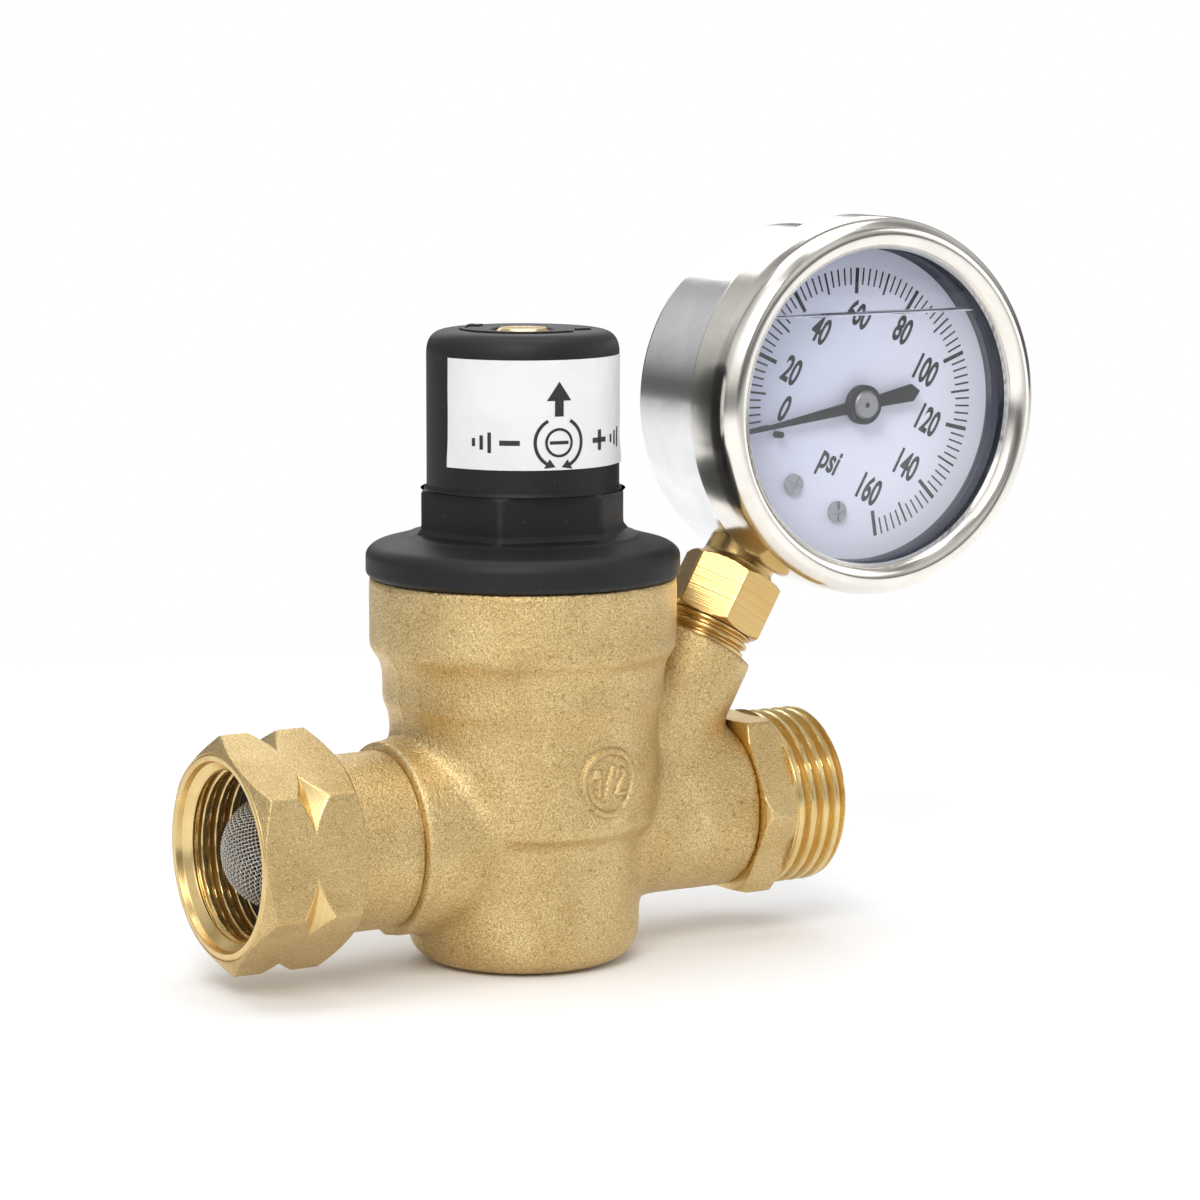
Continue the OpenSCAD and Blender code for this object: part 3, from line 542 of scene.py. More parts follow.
def thread_stations(start, stop, root, crest, pitch, kind, fade_in, fade_out):
    """A helical thread: the radius goes from crest to root and back once per pitch."""
    turn = np.arange(AROUND) / AROUND
    rows = []
    for a in np.linspace(start, stop, int(abs(stop - start) / THREAD_STEP) + 1):
        phase = (a / pitch - turn) % 1
        groove = 1 - smooth((np.abs(phase - 0.5) * 2 - 0.1) / 0.62)
        depth = smooth(abs(a - start) / fade_in) * smooth(abs(stop - a) / fade_out)
        rows.append((a, crest + (root - crest) * groove * depth, kind))
    return rows


# ---- cast body


def voxelised(node, size):
    """A copy of a CAD node's mesh, remeshed evenly."""
    copy = bpy.data.objects.new("voxel_copy", nodes[node].data.copy())
    bpy.context.scene.collection.objects.link(copy)
    remesh = copy.modifiers.new("voxels", "REMESH")
    remesh.mode = "VOXEL"
    remesh.voxel_size = size * MM
    evaluated = copy.evaluated_get(bpy.context.evaluated_depsgraph_get())
    mesh = bpy.data.meshes.new_from_object(evaluated)
    bpy.data.objects.remove(copy)
    return mesh


def points_of(mesh):
    co = np.empty(len(mesh.vertices) * 3)
    mesh.vertices.foreach_get("co", co)
    return co.reshape(-1, 3) / MM


def set_points(mesh, co):
    mesh.vertices.foreach_set("co", (co * MM).ravel())
    mesh.update()


def normals_of(mesh):
    found = np.empty(len(mesh.vertices) * 3)
    mesh.vertex_normals.foreach_get("vector", found)
    return found.reshape(-1, 3)


def relax(mesh, rounds, pull, fill):
    """Evens the surface. pull moves a point towards its neighbours; fill moves it outwards only."""
    pairs = np.empty(len(mesh.edges) * 2, np.int64)
    mesh.edges.foreach_get("vertices", pairs)
    one, two = pairs[0::2], pairs[1::2]
    count = len(mesh.vertices)
    share = np.maximum(np.bincount(one, minlength=count) + np.bincount(two, minlength=count), 1)
    co = points_of(mesh)
    for turn in range(rounds):
        if fill and turn % 6 == 0:
            set_points(mesh, co)
            out = normals_of(mesh)
        mean = np.stack([np.bincount(one, co[two, k], count) + np.bincount(two, co[one, k], count)
                         for k in range(3)], -1) / share[:, None]
        shift = mean - co
        if fill:
            lift = np.einsum("ij,ij->i", shift, out)
            co = co + out * (np.maximum(lift, 0) * fill)[:, None]
        co = co + shift * pull
    set_points(mesh, co)


MARK_ANGLE = math.radians(-90 + 9)
MARK_Z = 29.2
MARK_RING = 4.7
MARK_HEIGHT = 0.56
STROKES = [
    [(-2.75, 0.95), (-2.05, 1.75), (-2.05, -1.75)],
    [(-1.0, -2.3), (0.55, 2.3)],
    [(1.15, 0.95), (1.4, 1.55), (2.0, 1.8), (2.6, 1.5), (2.7, 0.85), (2.3, 0.1), (1.15, -1.7), (2.85, -1.7)],
]


def distance_to_line(u, v, line):
    best = np.full(len(u), 9.0)
    for (x0, y0), (x1, y1) in zip(line, line[1:]):
        dx, dy = x1 - x0, y1 - y0
        s = np.clip(((u - x0) * dx + (v - y0) * dy) / (dx * dx + dy * dy), 0, 1)
        best = np.minimum(best, np.hypot(u - x0 - s * dx, v - y0 - s * dy))
    return best


def mark_height(u, v):
    """Height of the raised size mark, a ring round a one-half, at distances u and v from its middle."""
    r = np.hypot(u, v)
    ring = 1 - smooth((np.abs(r - MARK_RING) - 0.28) / 0.4)
    digits = np.zeros(len(u))
    for line in STROKES:
        digits = np.maximum(digits, 1 - smooth((distance_to_line(u, v, line) - 0.2) / 0.34))
    return MARK_HEIGHT * np.maximum(ring, 0.85 * digits)


def cast_body():
    mesh = voxelised("valve_body", 0.46)
    relax(mesh, 7, 0.5, 0)
    relax(mesh, 46, 0.0, 0.75)
    relax(mesh, 3, 0.4, 0)
    barrel = 20.0
    spot = Vector((barrel * math.cos(MARK_ANGLE), barrel * math.sin(MARK_ANGLE), MARK_Z)) * MM
    grown = bmesh.new()
    grown.from_mesh(mesh)
    near = [f for f in grown.faces if (f.calc_center_median() - spot).length < (MARK_RING + 1.6) * MM]
    edges = list({e for f in near for e in f.edges})
    bmesh.ops.subdivide_edges(grown, edges=edges, cuts=2, use_grid_fill=True)
    grown.to_mesh(mesh)
    grown.free()
    mesh.update()
    co, out = points_of(mesh), normals_of(mesh)
    radius = np.hypot(co[:, 0], co[:, 1])
    facing = (co[:, 0] * out[:, 0] + co[:, 1] * out[:, 1]) / np.maximum(radius, 1)
    angle = np.arctan2(co[:, 1], co[:, 0]) - MARK_ANGLE
    u, v = barrel * angle, co[:, 2] - MARK_Z
    on_front = (np.abs(u) < 8) & (np.abs(v) < 8) & (radius > 18) & (facing > 0.5)
    lift = np.zeros(len(co))
    lift[on_front] = mark_height(u[on_front], v[on_front])
    pipe_radius = np.hypot(co[:, 1], co[:, 2] - PIPE_Z)
    pipe_facing = (co[:, 1] * out[:, 1] + (co[:, 2] - PIPE_Z) * out[:, 2]) / np.maximum(pipe_radius, 1)
    outside = ((radius > 16) & (facing > 0.4)) | ((pipe_radius > 11.5) & (pipe_facing > 0.4) & (radius > 18))
    seam = np.exp(-((co[:, 1] / 0.42) ** 2)) * 0.2
    lift += np.where(outside & (co[:, 2] > 1) & (co[:, 2] < 57), seam, 0)
    swell = np.array([noise.noise(Vector(p) / 6.5) for p in co])
    shell = outside & (co[:, 2] > 1.5) & (co[:, 2] < 57)
    lift += np.where(shell, swell * 0.09, 0)
    set_points(mesh, co + out * lift[:, None])
    mesh.materials.clear()
    mesh.materials.append(cast)
    mesh.polygons.foreach_set("use_smooth", np.ones(len(mesh.polygons), bool))
    body = bpy.data.objects.new("body_casting", mesh)
    dress(body, "housing", ["valve_body"])


cast_body()


# ---- pipe ends

HOSE_PITCH = 2.209
INLET_FACE = -edge("inlet_adapter", 0, 0)
OUTLET_FACE = edge("outlet_adapter", 1, 0)
NUT_BACK = INLET_FACE - 16.5
NUT_FLATS = 30.6
NUT_TURNED = 15.0
FINE, TURNED, CASTING, SHADED_BORE = 0, 1, 2, 3


def with_kind(points, kind):
    return [(a, r, kind) for a, r in points]


def inlet_fitting():
    face = INLET_FACE
    rows = with_kind(soften([(face - 34.5, 6.5, 0), (face - 34.5, 9.5, 0.3), (face - 27.05, 9.5, 0.2),
                             (face - 27.0, 13.1, 0.25), (NUT_BACK - 0.3, 13.1, 0.3)]), CASTING)
    rows += with_kind([(NUT_BACK - 0.05, 12.9), (NUT_BACK, 14.2)], FINE)
    nut = hex_stations(NUT_BACK, face, NUT_FLATS, math.radians(36), NUT_TURNED, (FINE, FINE, TURNED),
                       notch=((NUT_BACK + face) / 2, 15.6))
    rows += nut[1:-1]
    rows += with_kind(soften([(face - 0.25, 14.98, 0), (face, 14.8, 0.2), (face, 13.95, 0.12),
                              (face - 1.0, 13.7, 0.1), (face - 1.9, 12.6, 0.12),
                              (face - 2.1, 12.45, 0)]), TURNED)
    rows += thread_stations(face - 2.15, face - 9.35, 13.55, 12.45, HOSE_PITCH, TURNED, 1.4, 0.6)
    # The bore beyond the thread takes the brass painted dark as shade.
    rows += with_kind(soften([(face - 9.4, 12.6, 0), (face - 9.45, 13.6, 0.1), (face - 11.6, 13.6, 0.2),
                              (face - 11.6, 6.6, 0.2), (face - 13.0, 6.5, 0.2)]), SHADED_BORE)
    skins = [nut_skin, pipe_turned, cast, bore_brass_painted_shade]
    lathe("inlet_fitting", rows, AGAINST, "housing", skins, ["inlet_adapter"])


def outlet_fitting():
    face = OUTLET_FACE
    hex_from, hex_to = face - 15.5, face - 9.8
    rows = with_kind(soften([(face - 23.5, 6.5, 0), (face - 23.5, 9.5, 0.3),
                             (hex_from - 0.05, 9.5, 0.1)]), TURNED)
    nut = hex_stations(hex_from, hex_to, 26.4, 0.0, 13.9, (FINE, TURNED, TURNED))
    rows += nut[:-1]
    rows += with_kind([(hex_to, 13.75), (hex_to + 0.02, 13.5)], TURNED)
    spun = thread_stations(hex_to + 0.05, face - 0.25, 12.3, 13.45, HOSE_PITCH, TURNED, 1.1, 0.9)
    rows += [(a, np.minimum(r, 12.75 + (face - a) * 1.1), k) for a, r, k in spun]
    rows += with_kind(soften([(face, 12.6, 0.15), (face, 8.9, 0.2), (face - 1.0, 8.6, 0.1),
                              (face - 14.5, 8.6, 0.2), (face - 14.5, 6.6, 0.2),
                              (face - 15.5, 6.5, 0)]), TURNED)
    skins = [nut_skin, pipe_turned]
    lathe("outlet_fitting", rows, ALONG, "housing", skins, ["outlet_adapter"])


inlet_fitting()
outlet_fitting()


# ---- strainer

SEAT_AT = INLET_FACE - 11.6
DOME = 8.6
SKIRT = 1.6
WIRE = 0.125
WIRE_GAP = 0.62


def on_dome(u, v, lift):
    """Bends a flat weave point (u, v) onto the strainer's dome, at a distance lift from its surface."""
    far = np.hypot(u, v)
    bearing = np.arctan2(v, u)
    lean = np.minimum(far / DOME, math.pi / 2)
    drop = np.maximum(far - DOME * math.pi / 2, 0)
    r = (DOME - WIRE * 2 + lift) * np.sin(lean)
    z = SEAT_AT + SKIRT + (DOME - WIRE * 2 + lift) * np.cos(lean) - drop
    return np.stack([r * np.cos(bearing), r * np.sin(bearing), z], -1)


def woven_dome():
    reach = DOME * math.pi / 2 + SKIRT
    sides = 6
    count = int(reach / WIRE_GAP)
    turned = math.radians(24)
    points, quads, total = [], [], 0
    ring = np.arange(sides) * TAU / sides
    for family in (0, 1):
        for k in range(-count, count + 1):
            off = k * WIRE_GAP
            half = math.sqrt(max(reach * reach - off * off, 0))
            if half < WIRE_GAP:
                continue
            along_wire = np.arange(-half, half, WIRE_GAP / 4)
            side = 1 if (k + family) % 2 else -1
            wave = side * WIRE * np.cos(along_wire / WIRE_GAP * math.pi) * (1 if family else -1)
            u, v = (along_wire, np.full_like(along_wire, off))
            if family:
                u, v = v, u
            u, v = u * math.cos(turned) - v * math.sin(turned), u * math.sin(turned) + v * math.cos(turned)
            core = on_dome(u, v, wave)
            ahead = np.gradient(core, axis=0)
            ahead /= np.linalg.norm(ahead, axis=1)[:, None]
            out = on_dome(u, v, wave + 1) - core
            out /= np.linalg.norm(out, axis=1)[:, None]
            aside = np.cross(ahead, out)
            tube = (core[:, None] + WIRE * (np.cos(ring)[None, :, None] * out[:, None]
                                            + np.sin(ring)[None, :, None] * aside[:, None]))
            points.append(tube.reshape(-1, 3))
            i = np.arange(len(core) - 1)[:, None] * sides + total
            j = np.arange(sides)[None, :]
            on = (j + 1) % sides
            quads.append(np.stack([i + j, i + on, i + on + sides, i + j + sides], -1).reshape(-1, 4))
            total += len(core) * sides
    make("strainer_cloth", np.vstack(points), [np.vstack(quads)], AGAINST, "housing", [wire],
         ["filter_screen"], closed=False, sharp=math.pi)
    low, step, high = SEAT_AT + 0.02, SEAT_AT + 0.32, SEAT_AT + 1.1
    rim = soften([(low, 8.2, 0.1), (low, 13.0, 0.14), (step, 13.0, 0.14), (step, 8.95, 0.2),
                  (high, 8.85, 0.1), (high, 8.2, 0.1)], 4, True)
    lathe("strainer_rim", rim, AGAINST, "housing", [wire], count=128)


woven_dome()


# ---- bonnet

CAP_TOP = 94.5
CAP_R = 14.3
HEX_LOW, HEX_HIGH = 63.4, 71.0
FLARE_LOW, FLARE_HIGH = 64.0, 65.6


def bonnet_cover():
    low = edge("bonnet", 0, 2)
    rows = soften([(low, 11.5, 0), (low, 19.0, 0.3), (57.95, 19.0, 0), (58.0, 22.9, 0.1), (58.5, 23.4, 0.4),
                   (61.6, 23.4, 0.9), (62.7, 22.2, 0.9), (63.9, 17.6, 1.8), (64.6, 16.4, 0)])
    hexed = hex_stations(HEX_LOW, HEX_HIGH, 27.4, math.radians(77), 15.2, (0, 0, 0), low=False)
    rows = with_kind(rows[:-1], 0)
    for a, r, kind in hexed:
        if a > FLARE_LOW:
            flare = np.clip((FLARE_HIGH - a) / 1.4, 0, 1) ** 2 * 1.1
            rows.append((a, r + flare, kind))
    rows += with_kind(soften([(HEX_HIGH, 15.2, 0), (HEX_HIGH, CAP_R + 0.25, 0.1),
                              (HEX_HIGH + 0.5, CAP_R, 0.3),
                              (CAP_TOP, CAP_R, 3.4), (CAP_TOP, 4.9, 0.35), (CAP_TOP - 0.4, 4.5, 0.2)], 9), 0)
    inner = [(92.9, 4.5), (92.9, 7.0), (82.0, 7.0), (82.0, 11.5)]
    rows += with_kind(inner, 0)
    lathe("bonnet_cover", rows, UPRIGHT, "housing", [plastic], ["bonnet"])


def flat_faces(outlines):
    """A flat mesh of outlines, each a list of (x, y) corners in millimetres."""
    made = bmesh.new()
    for outline in outlines:
        made.faces.new([made.verts.new((x, y, 0)) for x, y in outline])
    return made


def thicken(made, thick):
    """Raises a flat mesh into a solid one."""
    grown = bmesh.ops.extrude_face_region(made, geom=list(made.faces))
    for vert in (g for g in grown["geom"] if isinstance(g, bmesh.types.BMVert)):
        vert.co.z += thick


def spot(cx, cy, r, a):
    return cx + r * math.cos(a), cy + r * math.sin(a)


def arc_band(cx, cy, inner, outer, start, stop, steps):
    """Four-cornered steps of a ring, angles in degrees."""
    turn = np.radians(np.linspace(start, stop, steps + 1))
    return [[spot(cx, cy, r, c) for r, c in ((inner, a), (outer, a), (outer, b), (inner, b))]
            for a, b in zip(turn, turn[1:])]


def arrow_head(cx, cy, radius, at, size, forward):
    """A triangle at an angle of an arc, pointing along it."""
    a = math.radians(at)
    half = size * 0.85
    tip = a + forward * size * 1.5 / radius
    return [spot(cx, cy, radius - half, a), spot(cx, cy, radius + half, a), spot(cx, cy, radius, tip)]


def bar(cx, cy, wide, high):
    return [(cx + i * wide / 2, cy + j * high / 2) for i, j in ((-1, -1), (1, -1), (1, 1), (-1, 1))]


def cap_marks():
    """Raised turning arrow with a plus and a minus on the cap."""
    ring = 9.0
    shapes = arc_band(0, 0, ring - 0.45, ring + 0.45, 132, 286, 44)
    shapes.append(arrow_head(0, 0, ring, 284, 1.25, 1))
    for at, plus in ((112, True), (318, False)):
        cx, cy = spot(0, 0, ring, math.radians(at))
        shapes.append(bar(cx, cy, 2.5, 0.75))
        if plus:
            shapes.append(bar(cx, cy, 0.75, 2.5))
    made = flat_faces(shapes)
    bmesh.ops.remove_doubles(made, verts=made.verts, dist=0.001)
    thicken(made, 0.75)
    for vert in made.verts:
        vert.co = (vert.co + Vector((0, 0, CAP_TOP - 0.45))) * MM
    bmesh.ops.recalc_face_normals(made, faces=made.faces)
    piece = dress(from_bmesh("bonnet_cap_marks", made, plastic), "housing")
    bevel = piece.modifiers.new("bevel", "BEVEL")
    bevel.width = 0.14 * MM
    bevel.segments = 3
    bevel.limit_method = "ANGLE"
    bevel.angle_limit = math.radians(40)


bonnet_cover()
cap_marks()


# ---- label

LABEL_FROM, LABEL_TO = math.radians(190), math.radians(322)
LABEL_LOW, LABEL_HIGH = edge("label", 0, 2), edge("label", 1, 2)
FILM = 0.12


def label_film():
    across = np.linspace(LABEL_FROM, LABEL_TO, 121)
    up = np.linspace(LABEL_LOW, LABEL_HIGH, 25)
    turn, z = np.meshgrid(across, up, indexing="ij")
    from_side = np.minimum(turn - LABEL_FROM, LABEL_TO - turn) * CAP_R
    from_foot = z - LABEL_LOW
    curl = 0.22 * (1 - smooth((from_side + from_foot * 0.6) / 2.6))
    ripple = 0.02 * np.sin(turn * 31) * np.cos(z * 0.8)
    outer = CAP_R + FILM + curl + ripple
    shell = [np.stack([(outer - t) * np.cos(turn), (outer - t) * np.sin(turn), z], -1)
             for t in (0.0, FILM * 0.8)]
    co = np.concatenate([s.reshape(-1, 3) for s in shell])
    n, m = len(across), len(up)
    i, j = np.meshgrid(np.arange(n - 1), np.arange(m - 1), indexing="ij")
    a, b, c, d = i * m + j, (i + 1) * m + j, (i + 1) * m + j + 1, i * m + j + 1
    front = np.stack([a, b, c, d], -1).reshape(-1, 4)
    back = np.stack([d, c, b, a], -1).reshape(-1, 4) + n * m
    rim = []
    k = np.arange(n - 1)
    for row in (0, m - 1):
        p, q = k * m + row, (k + 1) * m + row
        rim.append(np.stack([p, q, q + n * m, p + n * m] if row else [q, p, p + n * m, q + n * m], -1))
    k = np.arange(m - 1)
    for col in (0, n - 1):
        p, q = col * m + k, col * m + k + 1
        rim.append(np.stack([q, p, p + n * m, q + n * m] if col else [p, q, q + n * m, p + n * m], -1))
    make("label_sheet", co, [np.vstack([front, back] + rim)], UPRIGHT, "housing", [label_paper],
         ["label"])


def label_print():
    """An up arrow over a screw head with turning arrows, a minus on one side and a plus on the other."""
    shapes = [[(-1.9, 2.1), (1.9, 2.1), (0, 4.9)], bar(0, 0.95, 1.35, 2.3)]
    cy = -4.0
    shapes += arc_band(0, cy, 1.75, 2.15, 0, 360, 40)
    shapes.append(bar(0, cy, 2.9, 0.5))
    for side in (-1, 1):
        centre = 90 - side * 90
        shapes += arc_band(0, cy, 3.35, 3.85, centre - 62, centre + (58 if side < 0 else 62), 30)
        tip = centre + 58 if side < 0 else centre - 62
        shapes.append(arrow_head(0, cy, 3.6, tip, 0.95, 1 if side < 0 else -1))
        shapes.append(bar(side * 7.3, cy, 3.0, 0.75))
    shapes += [bar(7.3, cy, 0.75, 3.0)]
    for side in (-1, 1):
        for k in range(3):
            tall = 1.2 + 0.9 * (k if side > 0 else 2 - k)
            shapes.append(bar(side * (10.3 + 1.25 * k), cy, 0.55, tall))
    made = flat_faces(shapes)
    for k in range(-30, 31):
        bmesh.ops.bisect_plane(made, geom=list(made.verts) + list(made.edges) + list(made.faces),
                               plane_co=(k * 0.5, 0, 0), plane_no=(1, 0, 0))
    radius = CAP_R + FILM + 0.035
    middle_at = math.radians(261)
    for vert in made.verts:
        turn = middle_at + vert.co.x / CAP_R
        high = (LABEL_LOW + LABEL_HIGH) / 2 + vert.co.y
        vert.co = Vector((radius * math.cos(turn), radius * math.sin(turn), high)) * MM
    dress(from_bmesh("label_pictogram", made, label_ink), "housing")


label_film()
label_print()


# ---- gauge stem

SOCKET_FLATS = 14.0


def stem_fitting():
    rows = with_kind(soften([(18, 1.5, 0), (18, 6.15, 0.3), (28.9, 6.15, 0)]), 0)
    rows += thread_stations(28.95, 32.1, 6.15, 6.8, 1.41, 0, 0.5, 0.4)
    rows += with_kind([(32.15, 6.4), (32.3, 7.0)], 0)
    rows += hex_stations(32.4, 41.4, SOCKET_FLATS, math.radians(42), 7.25, (0, 0, 0))
    rows += with_kind(soften([(41.45, 7.0, 0), (41.5, 6.3, 0.2), (42.4, 5.6, 0.4), (RISE - 23.2, 5.5, 0.3),
                              (RISE - 23.2, 1.5, 0)]), 0)
    lathe("stem_fitting", rows, STEM, "housing", [stem_turned], ["gauge_socket"])
    cut = bmesh.new()
    cut.from_mesh(nodes["gauge_socket"].data)
    bmesh.ops.remove_doubles(cut, verts=cut.verts, dist=0.002 * MM)
    plane_at = (STEM @ Vector((0, 0, RISE - 23.9))) * MM
    bmesh.ops.bisect_plane(cut, geom=list(cut.verts) + list(cut.edges) + list(cut.faces), dist=1e-8,
                           plane_co=plane_at, plane_no=Vector(STEM_WAY), clear_inner=True)
    bmesh.ops.holes_fill(cut, edges=[e for e in cut.edges if e.is_boundary])
    mesh = bpy.data.meshes.new("stem_tube_block")
    cut.to_mesh(mesh)
    cut.free()
    mesh.materials.clear()
    mesh.materials.append(stem_turned)
    dress(bpy.data.objects.new("stem_tube_block", mesh), "housing")


stem_fitting()


# ---- gauge case, bezel, glass

CASE_R = 26.5
WINDOW_R = 23.8
DIAL_FRONT = -8.6
LENS_FRONT, LENS_BACK = -16.2, -13.7


def gauge_shell():
    case = soften([(8.9, 0.0, 0), (8.9, 24.3, 1.3), (7.4, 25.8, 1.0), (-10.4, 25.8, 0.3), (-10.4, 24.5, 0.1),
                   (-11.2, 24.5, 0.1), (-11.2, CASE_R, 0.2), (7.0, CASE_R, 0), (9.6, CASE_R, 2.4),
                   (9.6, 0.0, 0)], 7)
    lathe("gauge_case_shell", case, DIAL, "housing", [case_steel], ["gauge_case"],
          poles=True)
    bezel = soften([(-8.4, 26.55, 0.1), (-8.4, 28.7, 0.5), (-14.6, 28.7, 0.6), (-17.3, 28.5, 1.2),
                    (-18.9, 26.9, 1.3), (-19.0, 25.6, 0.9), (-18.3, 24.5, 0.6), (-17.5, 23.95, 0.35),
                    (-16.35, WINDOW_R, 0.12),
                    (-16.22, 24.6, 0), (-16.22, 26.5, 0.1), (-12.0, 26.55, 0)], 7, True)
    lathe("gauge_bezel_ring", bezel, DIAL, "housing", [bezel_steel], ["gauge_bezel"],
          count=320)
    glass = soften([(LENS_FRONT, 0.0, 0), (LENS_FRONT, 26.35, 0.25), (LENS_BACK, 26.35, 0.25),
                    (LENS_BACK, 0.0, 0)])
    lathe("gauge_window", glass, DIAL, "housing", [lens_glass], ["gauge_lens"], poles=True)
    seal = soften([(LENS_BACK, 23.7, 0.3), (LENS_BACK, 26.3, 0.2), (-11.25, 26.3, 0.2), (-11.25, 24.4, 0.2),
                   (DIAL_FRONT - 0.06, 24.4, 0.2), (DIAL_FRONT - 0.06, 23.7, 0.3)], 4, True)
    lathe("gauge_seal", seal, DIAL, "housing", [gasket_rubber], ["lens_gasket"])


LEVEL = 13.6


def glycerine():
    """The fill: a disc cut off level, its top curling up a little where it wets the glass and the dial."""
    radius, front, back = 24.9, LENS_BACK + 0.04, DIAL_FRONT + 0.2
    from_back = back - front - np.array([1.2, 0.8, 0.5, 0.25, 0.0])
    depths = np.sort(np.concatenate([[0, 0.12, 0.3, 0.55, 0.9, 1.4, 2.4], from_back]))
    count = 200
    rings = []
    for y in front + depths:
        wet = 0.75 * math.exp(-(y - front) / 0.45) + 0.55 * math.exp(-(back - 0.2 - y) / 0.4)
        level = LEVEL + wet
        half = math.acos(min(level / radius, 1))
        turn = np.linspace(half, TAU - half, count)
        x, z = radius * np.sin(turn), radius * np.cos(turn)
        top = np.linspace(-radius * math.sin(half), radius * math.sin(half), 60)[1:-1]
        x = np.concatenate([x, top])
        z = np.concatenate([z, np.full(len(top), level)])
        rings.append(np.stack([x, np.full(len(x), y), z], -1))
    n = len(rings[0])
    co = np.vstack(rings)
    j = np.arange(n)
    on = (j + 1) % n
    quads = [np.stack([k * n + j, k * n + on, (k + 1) * n + on, (k + 1) * n + j], -1)
             for k in range(len(rings) - 1)]
    mesh_faces = [np.vstack(quads)]
    ends = [co[:n].mean(0), co[-n:].mean(0)]
    first = len(co)
    co = np.vstack([co, ends])
    last = (len(rings) - 1) * n
    mesh_faces.append(np.stack([on, j, np.full(n, first)], -1))
    mesh_faces.append(np.stack([last + j, last + on, np.full(n, first + 1)], -1))
    level_frame = Matrix.Translation(GAUGE.translation)
    make("gauge_glycerine", co, mesh_faces, level_frame, "housing", [fill_liquid])


gauge_shell()
glycerine()


# ---- dial print

SCALE_TOP = 160
SWEEP = 270
DIAL_TURN = 6
TICK_OUT = 20.6
PRINT_AT = DIAL_FRONT - 0.035
PRINT_THICK = 0.03


def spin(value):
    """Angle of a reading, clockwise from the top of the dial."""
    return math.radians(DIAL_TURN - SWEEP / 2 + SWEEP * value / SCALE_TOP)


def dial_piece(name, made):
    """Turns a flat drawing (x right, y up, millimetres) into print on the dial."""
    thicken(made, PRINT_THICK)
    for vert in made.verts:
        x, y, z = vert.co
        vert.co = (GAUGE @ Vector((x, PRINT_AT - z + PRINT_THICK, y))) * MM
    bmesh.ops.recalc_face_normals(made, faces=made.faces)
    dress(from_bmesh(name, made, dial_ink), "housing")


def dial_scale():
    shapes = []
    for value in range(0, SCALE_TOP + 1, 2):
        turn = spin(value)
        long_one, mid_one = value % 20 == 0, value % 10 == 0
        deep, wide = (3.9, 0.62) if long_one else ((3.4, 0.34) if mid_one else (2.6, 0.27))
        across = Vector((math.cos(turn), -math.sin(turn)))
        out = Vector((math.sin(turn), math.cos(turn)))
        corners = [out * (TICK_OUT - deep) - across * wide / 2, out * (TICK_OUT - deep) + across * wide / 2,
                   out * TICK_OUT + across * wide / 2, out * TICK_OUT - across * wide / 2]
        shapes.append([tuple(c) for c in corners])
    dial_piece("dial_scale", flat_faces(shapes))


def lettering(text, high, narrow, bold):
    """A flat mesh of generic characters, centred on the origin."""
    curve = bpy.data.curves.new("letters", "FONT")
    curve.body = text
    curve.size = 1.0
    curve.offset = bold
    curve.resolution_u = 6
    holder = bpy.data.objects.new("letters", curve)
    bpy.context.scene.collection.objects.link(holder)
    mesh = bpy.data.meshes.new_from_object(holder.evaluated_get(bpy.context.evaluated_depsgraph_get()))
    bpy.data.objects.remove(holder)
    made = bmesh.new()
    made.from_mesh(mesh)
    bpy.data.meshes.remove(mesh)
    xs = [v.co.x for v in made.verts]
    cap = 0.70
    for vert in made.verts:
        vert.co.x = (vert.co.x - (min(xs) + max(xs)) / 2) * high / cap * narrow
        vert.co.y = (vert.co.y - cap / 2) * high / cap
    return made


def dial_numbers():
    for value in range(0, SCALE_TOP + 1, 20):
        made = lettering(str(value), 3.9, 0.54, 0.03)
        turn = spin(value) + (math.radians(9) if value == 0 else 0)
        reach = 13.6 if value < 100 else 13.3
        shift = Vector((reach * math.sin(turn), reach * math.cos(turn), 0))
        for vert in made.verts:
            vert.co += shift
        dial_piece(f"dial_number_{value}", made)
    unit = lettering("psi", 3.8, 0.62, 0.024)
    for vert in unit.verts:
        vert.co += Vector((-0.4, -9.6, 0))
    dial_piece("dial_unit", unit)


def hub_dot():
    front = edge("pointer_cap", 0, 1) - 0.03
    back = front + 0.3
    dot = soften([(front, 0, 0), (front, 0.36, 0.1), (front + 0.08, 0.42, 0.05),
                  (back, 0.42, 0), (back, 0, 0)])
    lathe("needle_hub_dot", dot, DIAL, "needle", [needle_paint], count=48, poles=True)


dial_scale()
dial_numbers()
hub_dot()


# ---- stage, light, camera: in metres


def pale_floor():
    s = Shader("floor_pale")
    drift = s.noise(per_mm(90), 2.0)
    base = s.ramp(drift, (0.3, (0.93, 0.93, 0.93)), (0.7, (0.96, 0.96, 0.96)))
    s.finish(Base_Color=base, Roughness=0.75, Specular_IOR_Level=0.15)
    far = s.add("VectorMath", operation="LENGTH")
    s.put(far, "i0", s.place)
    fade = s.ramp(s.maths("DIVIDE", far.outputs["Value"], 0.5), (0.16, 1.0), (0.62, 0.0))
    rays = s.add("LightPath")
    seen = s.maths("SUBTRACT", 1.0, rays.outputs["Is Camera Ray"])
    s.blend(s.maths("MAXIMUM", fade, seen), s.add("BsdfTransparent"), s.surface)
    made = bmesh.new()
    bmesh.ops.create_grid(made, x_segments=24, y_segments=24, size=1.2)
    floor = from_bmesh("floor", made, s.owner)
    floor.location.z = -0.00005
    bpy.context.scene.collection.objects.link(floor)


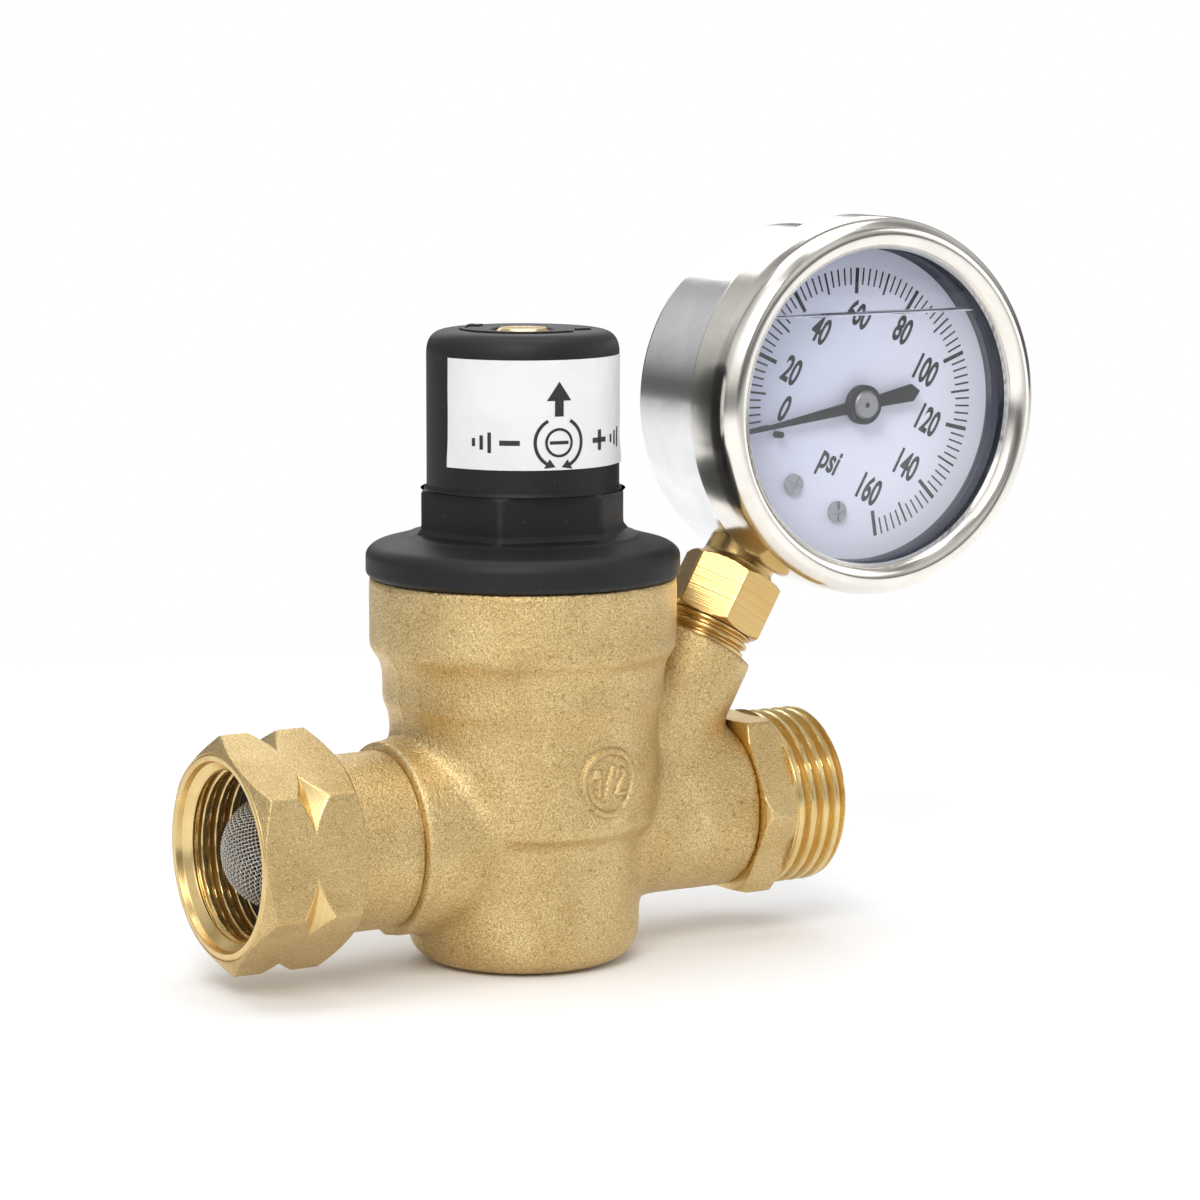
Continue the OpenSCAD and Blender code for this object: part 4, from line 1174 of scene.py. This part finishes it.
def studio_world():
    """White to the camera; to the metal, a studio of bright boxes between darker gaps."""
    s = Shader("studio", bpy.data.worlds, "Background", "Generated")
    bpy.context.scene.world = s.owner
    way = s.add("SeparateXYZ", Vector=s.place).outputs
    high = s.maths("ADD", s.maths("MULTIPLY", way["Z"], 0.5), 0.5)
    bearing = s.maths("ADD", s.maths("DIVIDE", s.maths("ARCTAN2", way["Y"], way["X"]), TAU), 0.5)
    by_height = s.ramp(high, (0.0, 0.6), (0.40, 0.62), (0.48, 0.22), (0.53, 0.18), (0.60, 0.62),
                       (0.74, 1.0), (0.86, 0.72), (1.0, 1.05))
    by_bearing = s.ramp(bearing, (0.0, 0.9), (0.06, 1.35), (0.13, 1.3), (0.18, 0.45), (0.225, 0.3),
                        (0.25, 0.75), (0.32, 0.8), (0.37, 0.25), (0.44, 0.75), (0.50, 0.3),
                        (0.57, 0.75), (0.65, 0.45), (0.74, 0.25), (0.79, 0.6), (0.83, 0.85),
                        (0.865, 0.3), (0.91, 0.7), (1.0, 0.9))
    rays = s.add("LightPath").outputs
    lit = s.mix(rays["Is Glossy Ray"], (0.55, 0.56, 0.58), s.maths("MULTIPLY", by_height, by_bearing))
    s.finish(Color=s.mix(rays["Is Camera Ray"], lit, (1, 1, 1)), Strength=1.0)


def area_light(name, spot, aim, size, power, tint=(1, 1, 1)):
    data = bpy.data.lights.new(name, "AREA")
    data.shape = "RECTANGLE"
    data.size, data.size_y = size
    data.energy = power
    data.color = tint
    lamp = bpy.data.objects.new(name, data)
    lamp.location = spot
    lamp.rotation_euler = (Vector(aim) - Vector(spot)).to_track_quat("-Z", "Y").to_euler()
    bpy.context.scene.collection.objects.link(lamp)


pale_floor()
studio_world()
AIM = (0.015, 0, 0.055)
area_light("key_softbox", (-0.42, -0.55, 0.62), AIM, (0.4, 0.4), 4.0, (1.0, 0.985, 0.96))
area_light("fill_softbox", (0.62, -0.42, 0.30), AIM, (0.35, 0.6), 0.9, (0.97, 0.985, 1.0))
area_light("top_softbox", (0.05, 0.05, 0.75), AIM, (0.6, 0.5), 2.2)
area_light("rim_softbox", (0.25, 0.6, 0.4), AIM, (0.5, 0.3), 1.0)

VIEW_YAW = 0.55
VIEW_DROP = 0.14
VIEW_ROLL = 0.002
VIEW_FAR = 0.650
VIEW_LENS = 129.5
VIEW_AIM = Vector((0.01345, 0, 0.0531))
ahead = Vector((math.sin(VIEW_YAW) * math.cos(VIEW_DROP), math.cos(VIEW_YAW) * math.cos(VIEW_DROP),
                -math.sin(VIEW_DROP)))
right = ahead.cross(Vector((0, 0, 1))).normalized()
above = right.cross(ahead).normalized()
rolled_right = right * math.cos(VIEW_ROLL) + above * math.sin(VIEW_ROLL)
rolled_above = above * math.cos(VIEW_ROLL) - right * math.sin(VIEW_ROLL)
camera = bpy.data.objects.new("camera", bpy.data.cameras.new("camera"))
bpy.context.scene.collection.objects.link(camera)
stand = Matrix((rolled_right, rolled_above, -ahead)).transposed().to_4x4()
stand.translation = VIEW_AIM - ahead * VIEW_FAR
camera.matrix_world = stand
camera.data.sensor_width = 36
camera.data.lens = VIEW_LENS
camera.data.clip_start = 0.01
camera.data.clip_end = 20
bpy.context.scene.camera = camera
bpy.context.scene.view_settings.view_transform = "Standard"
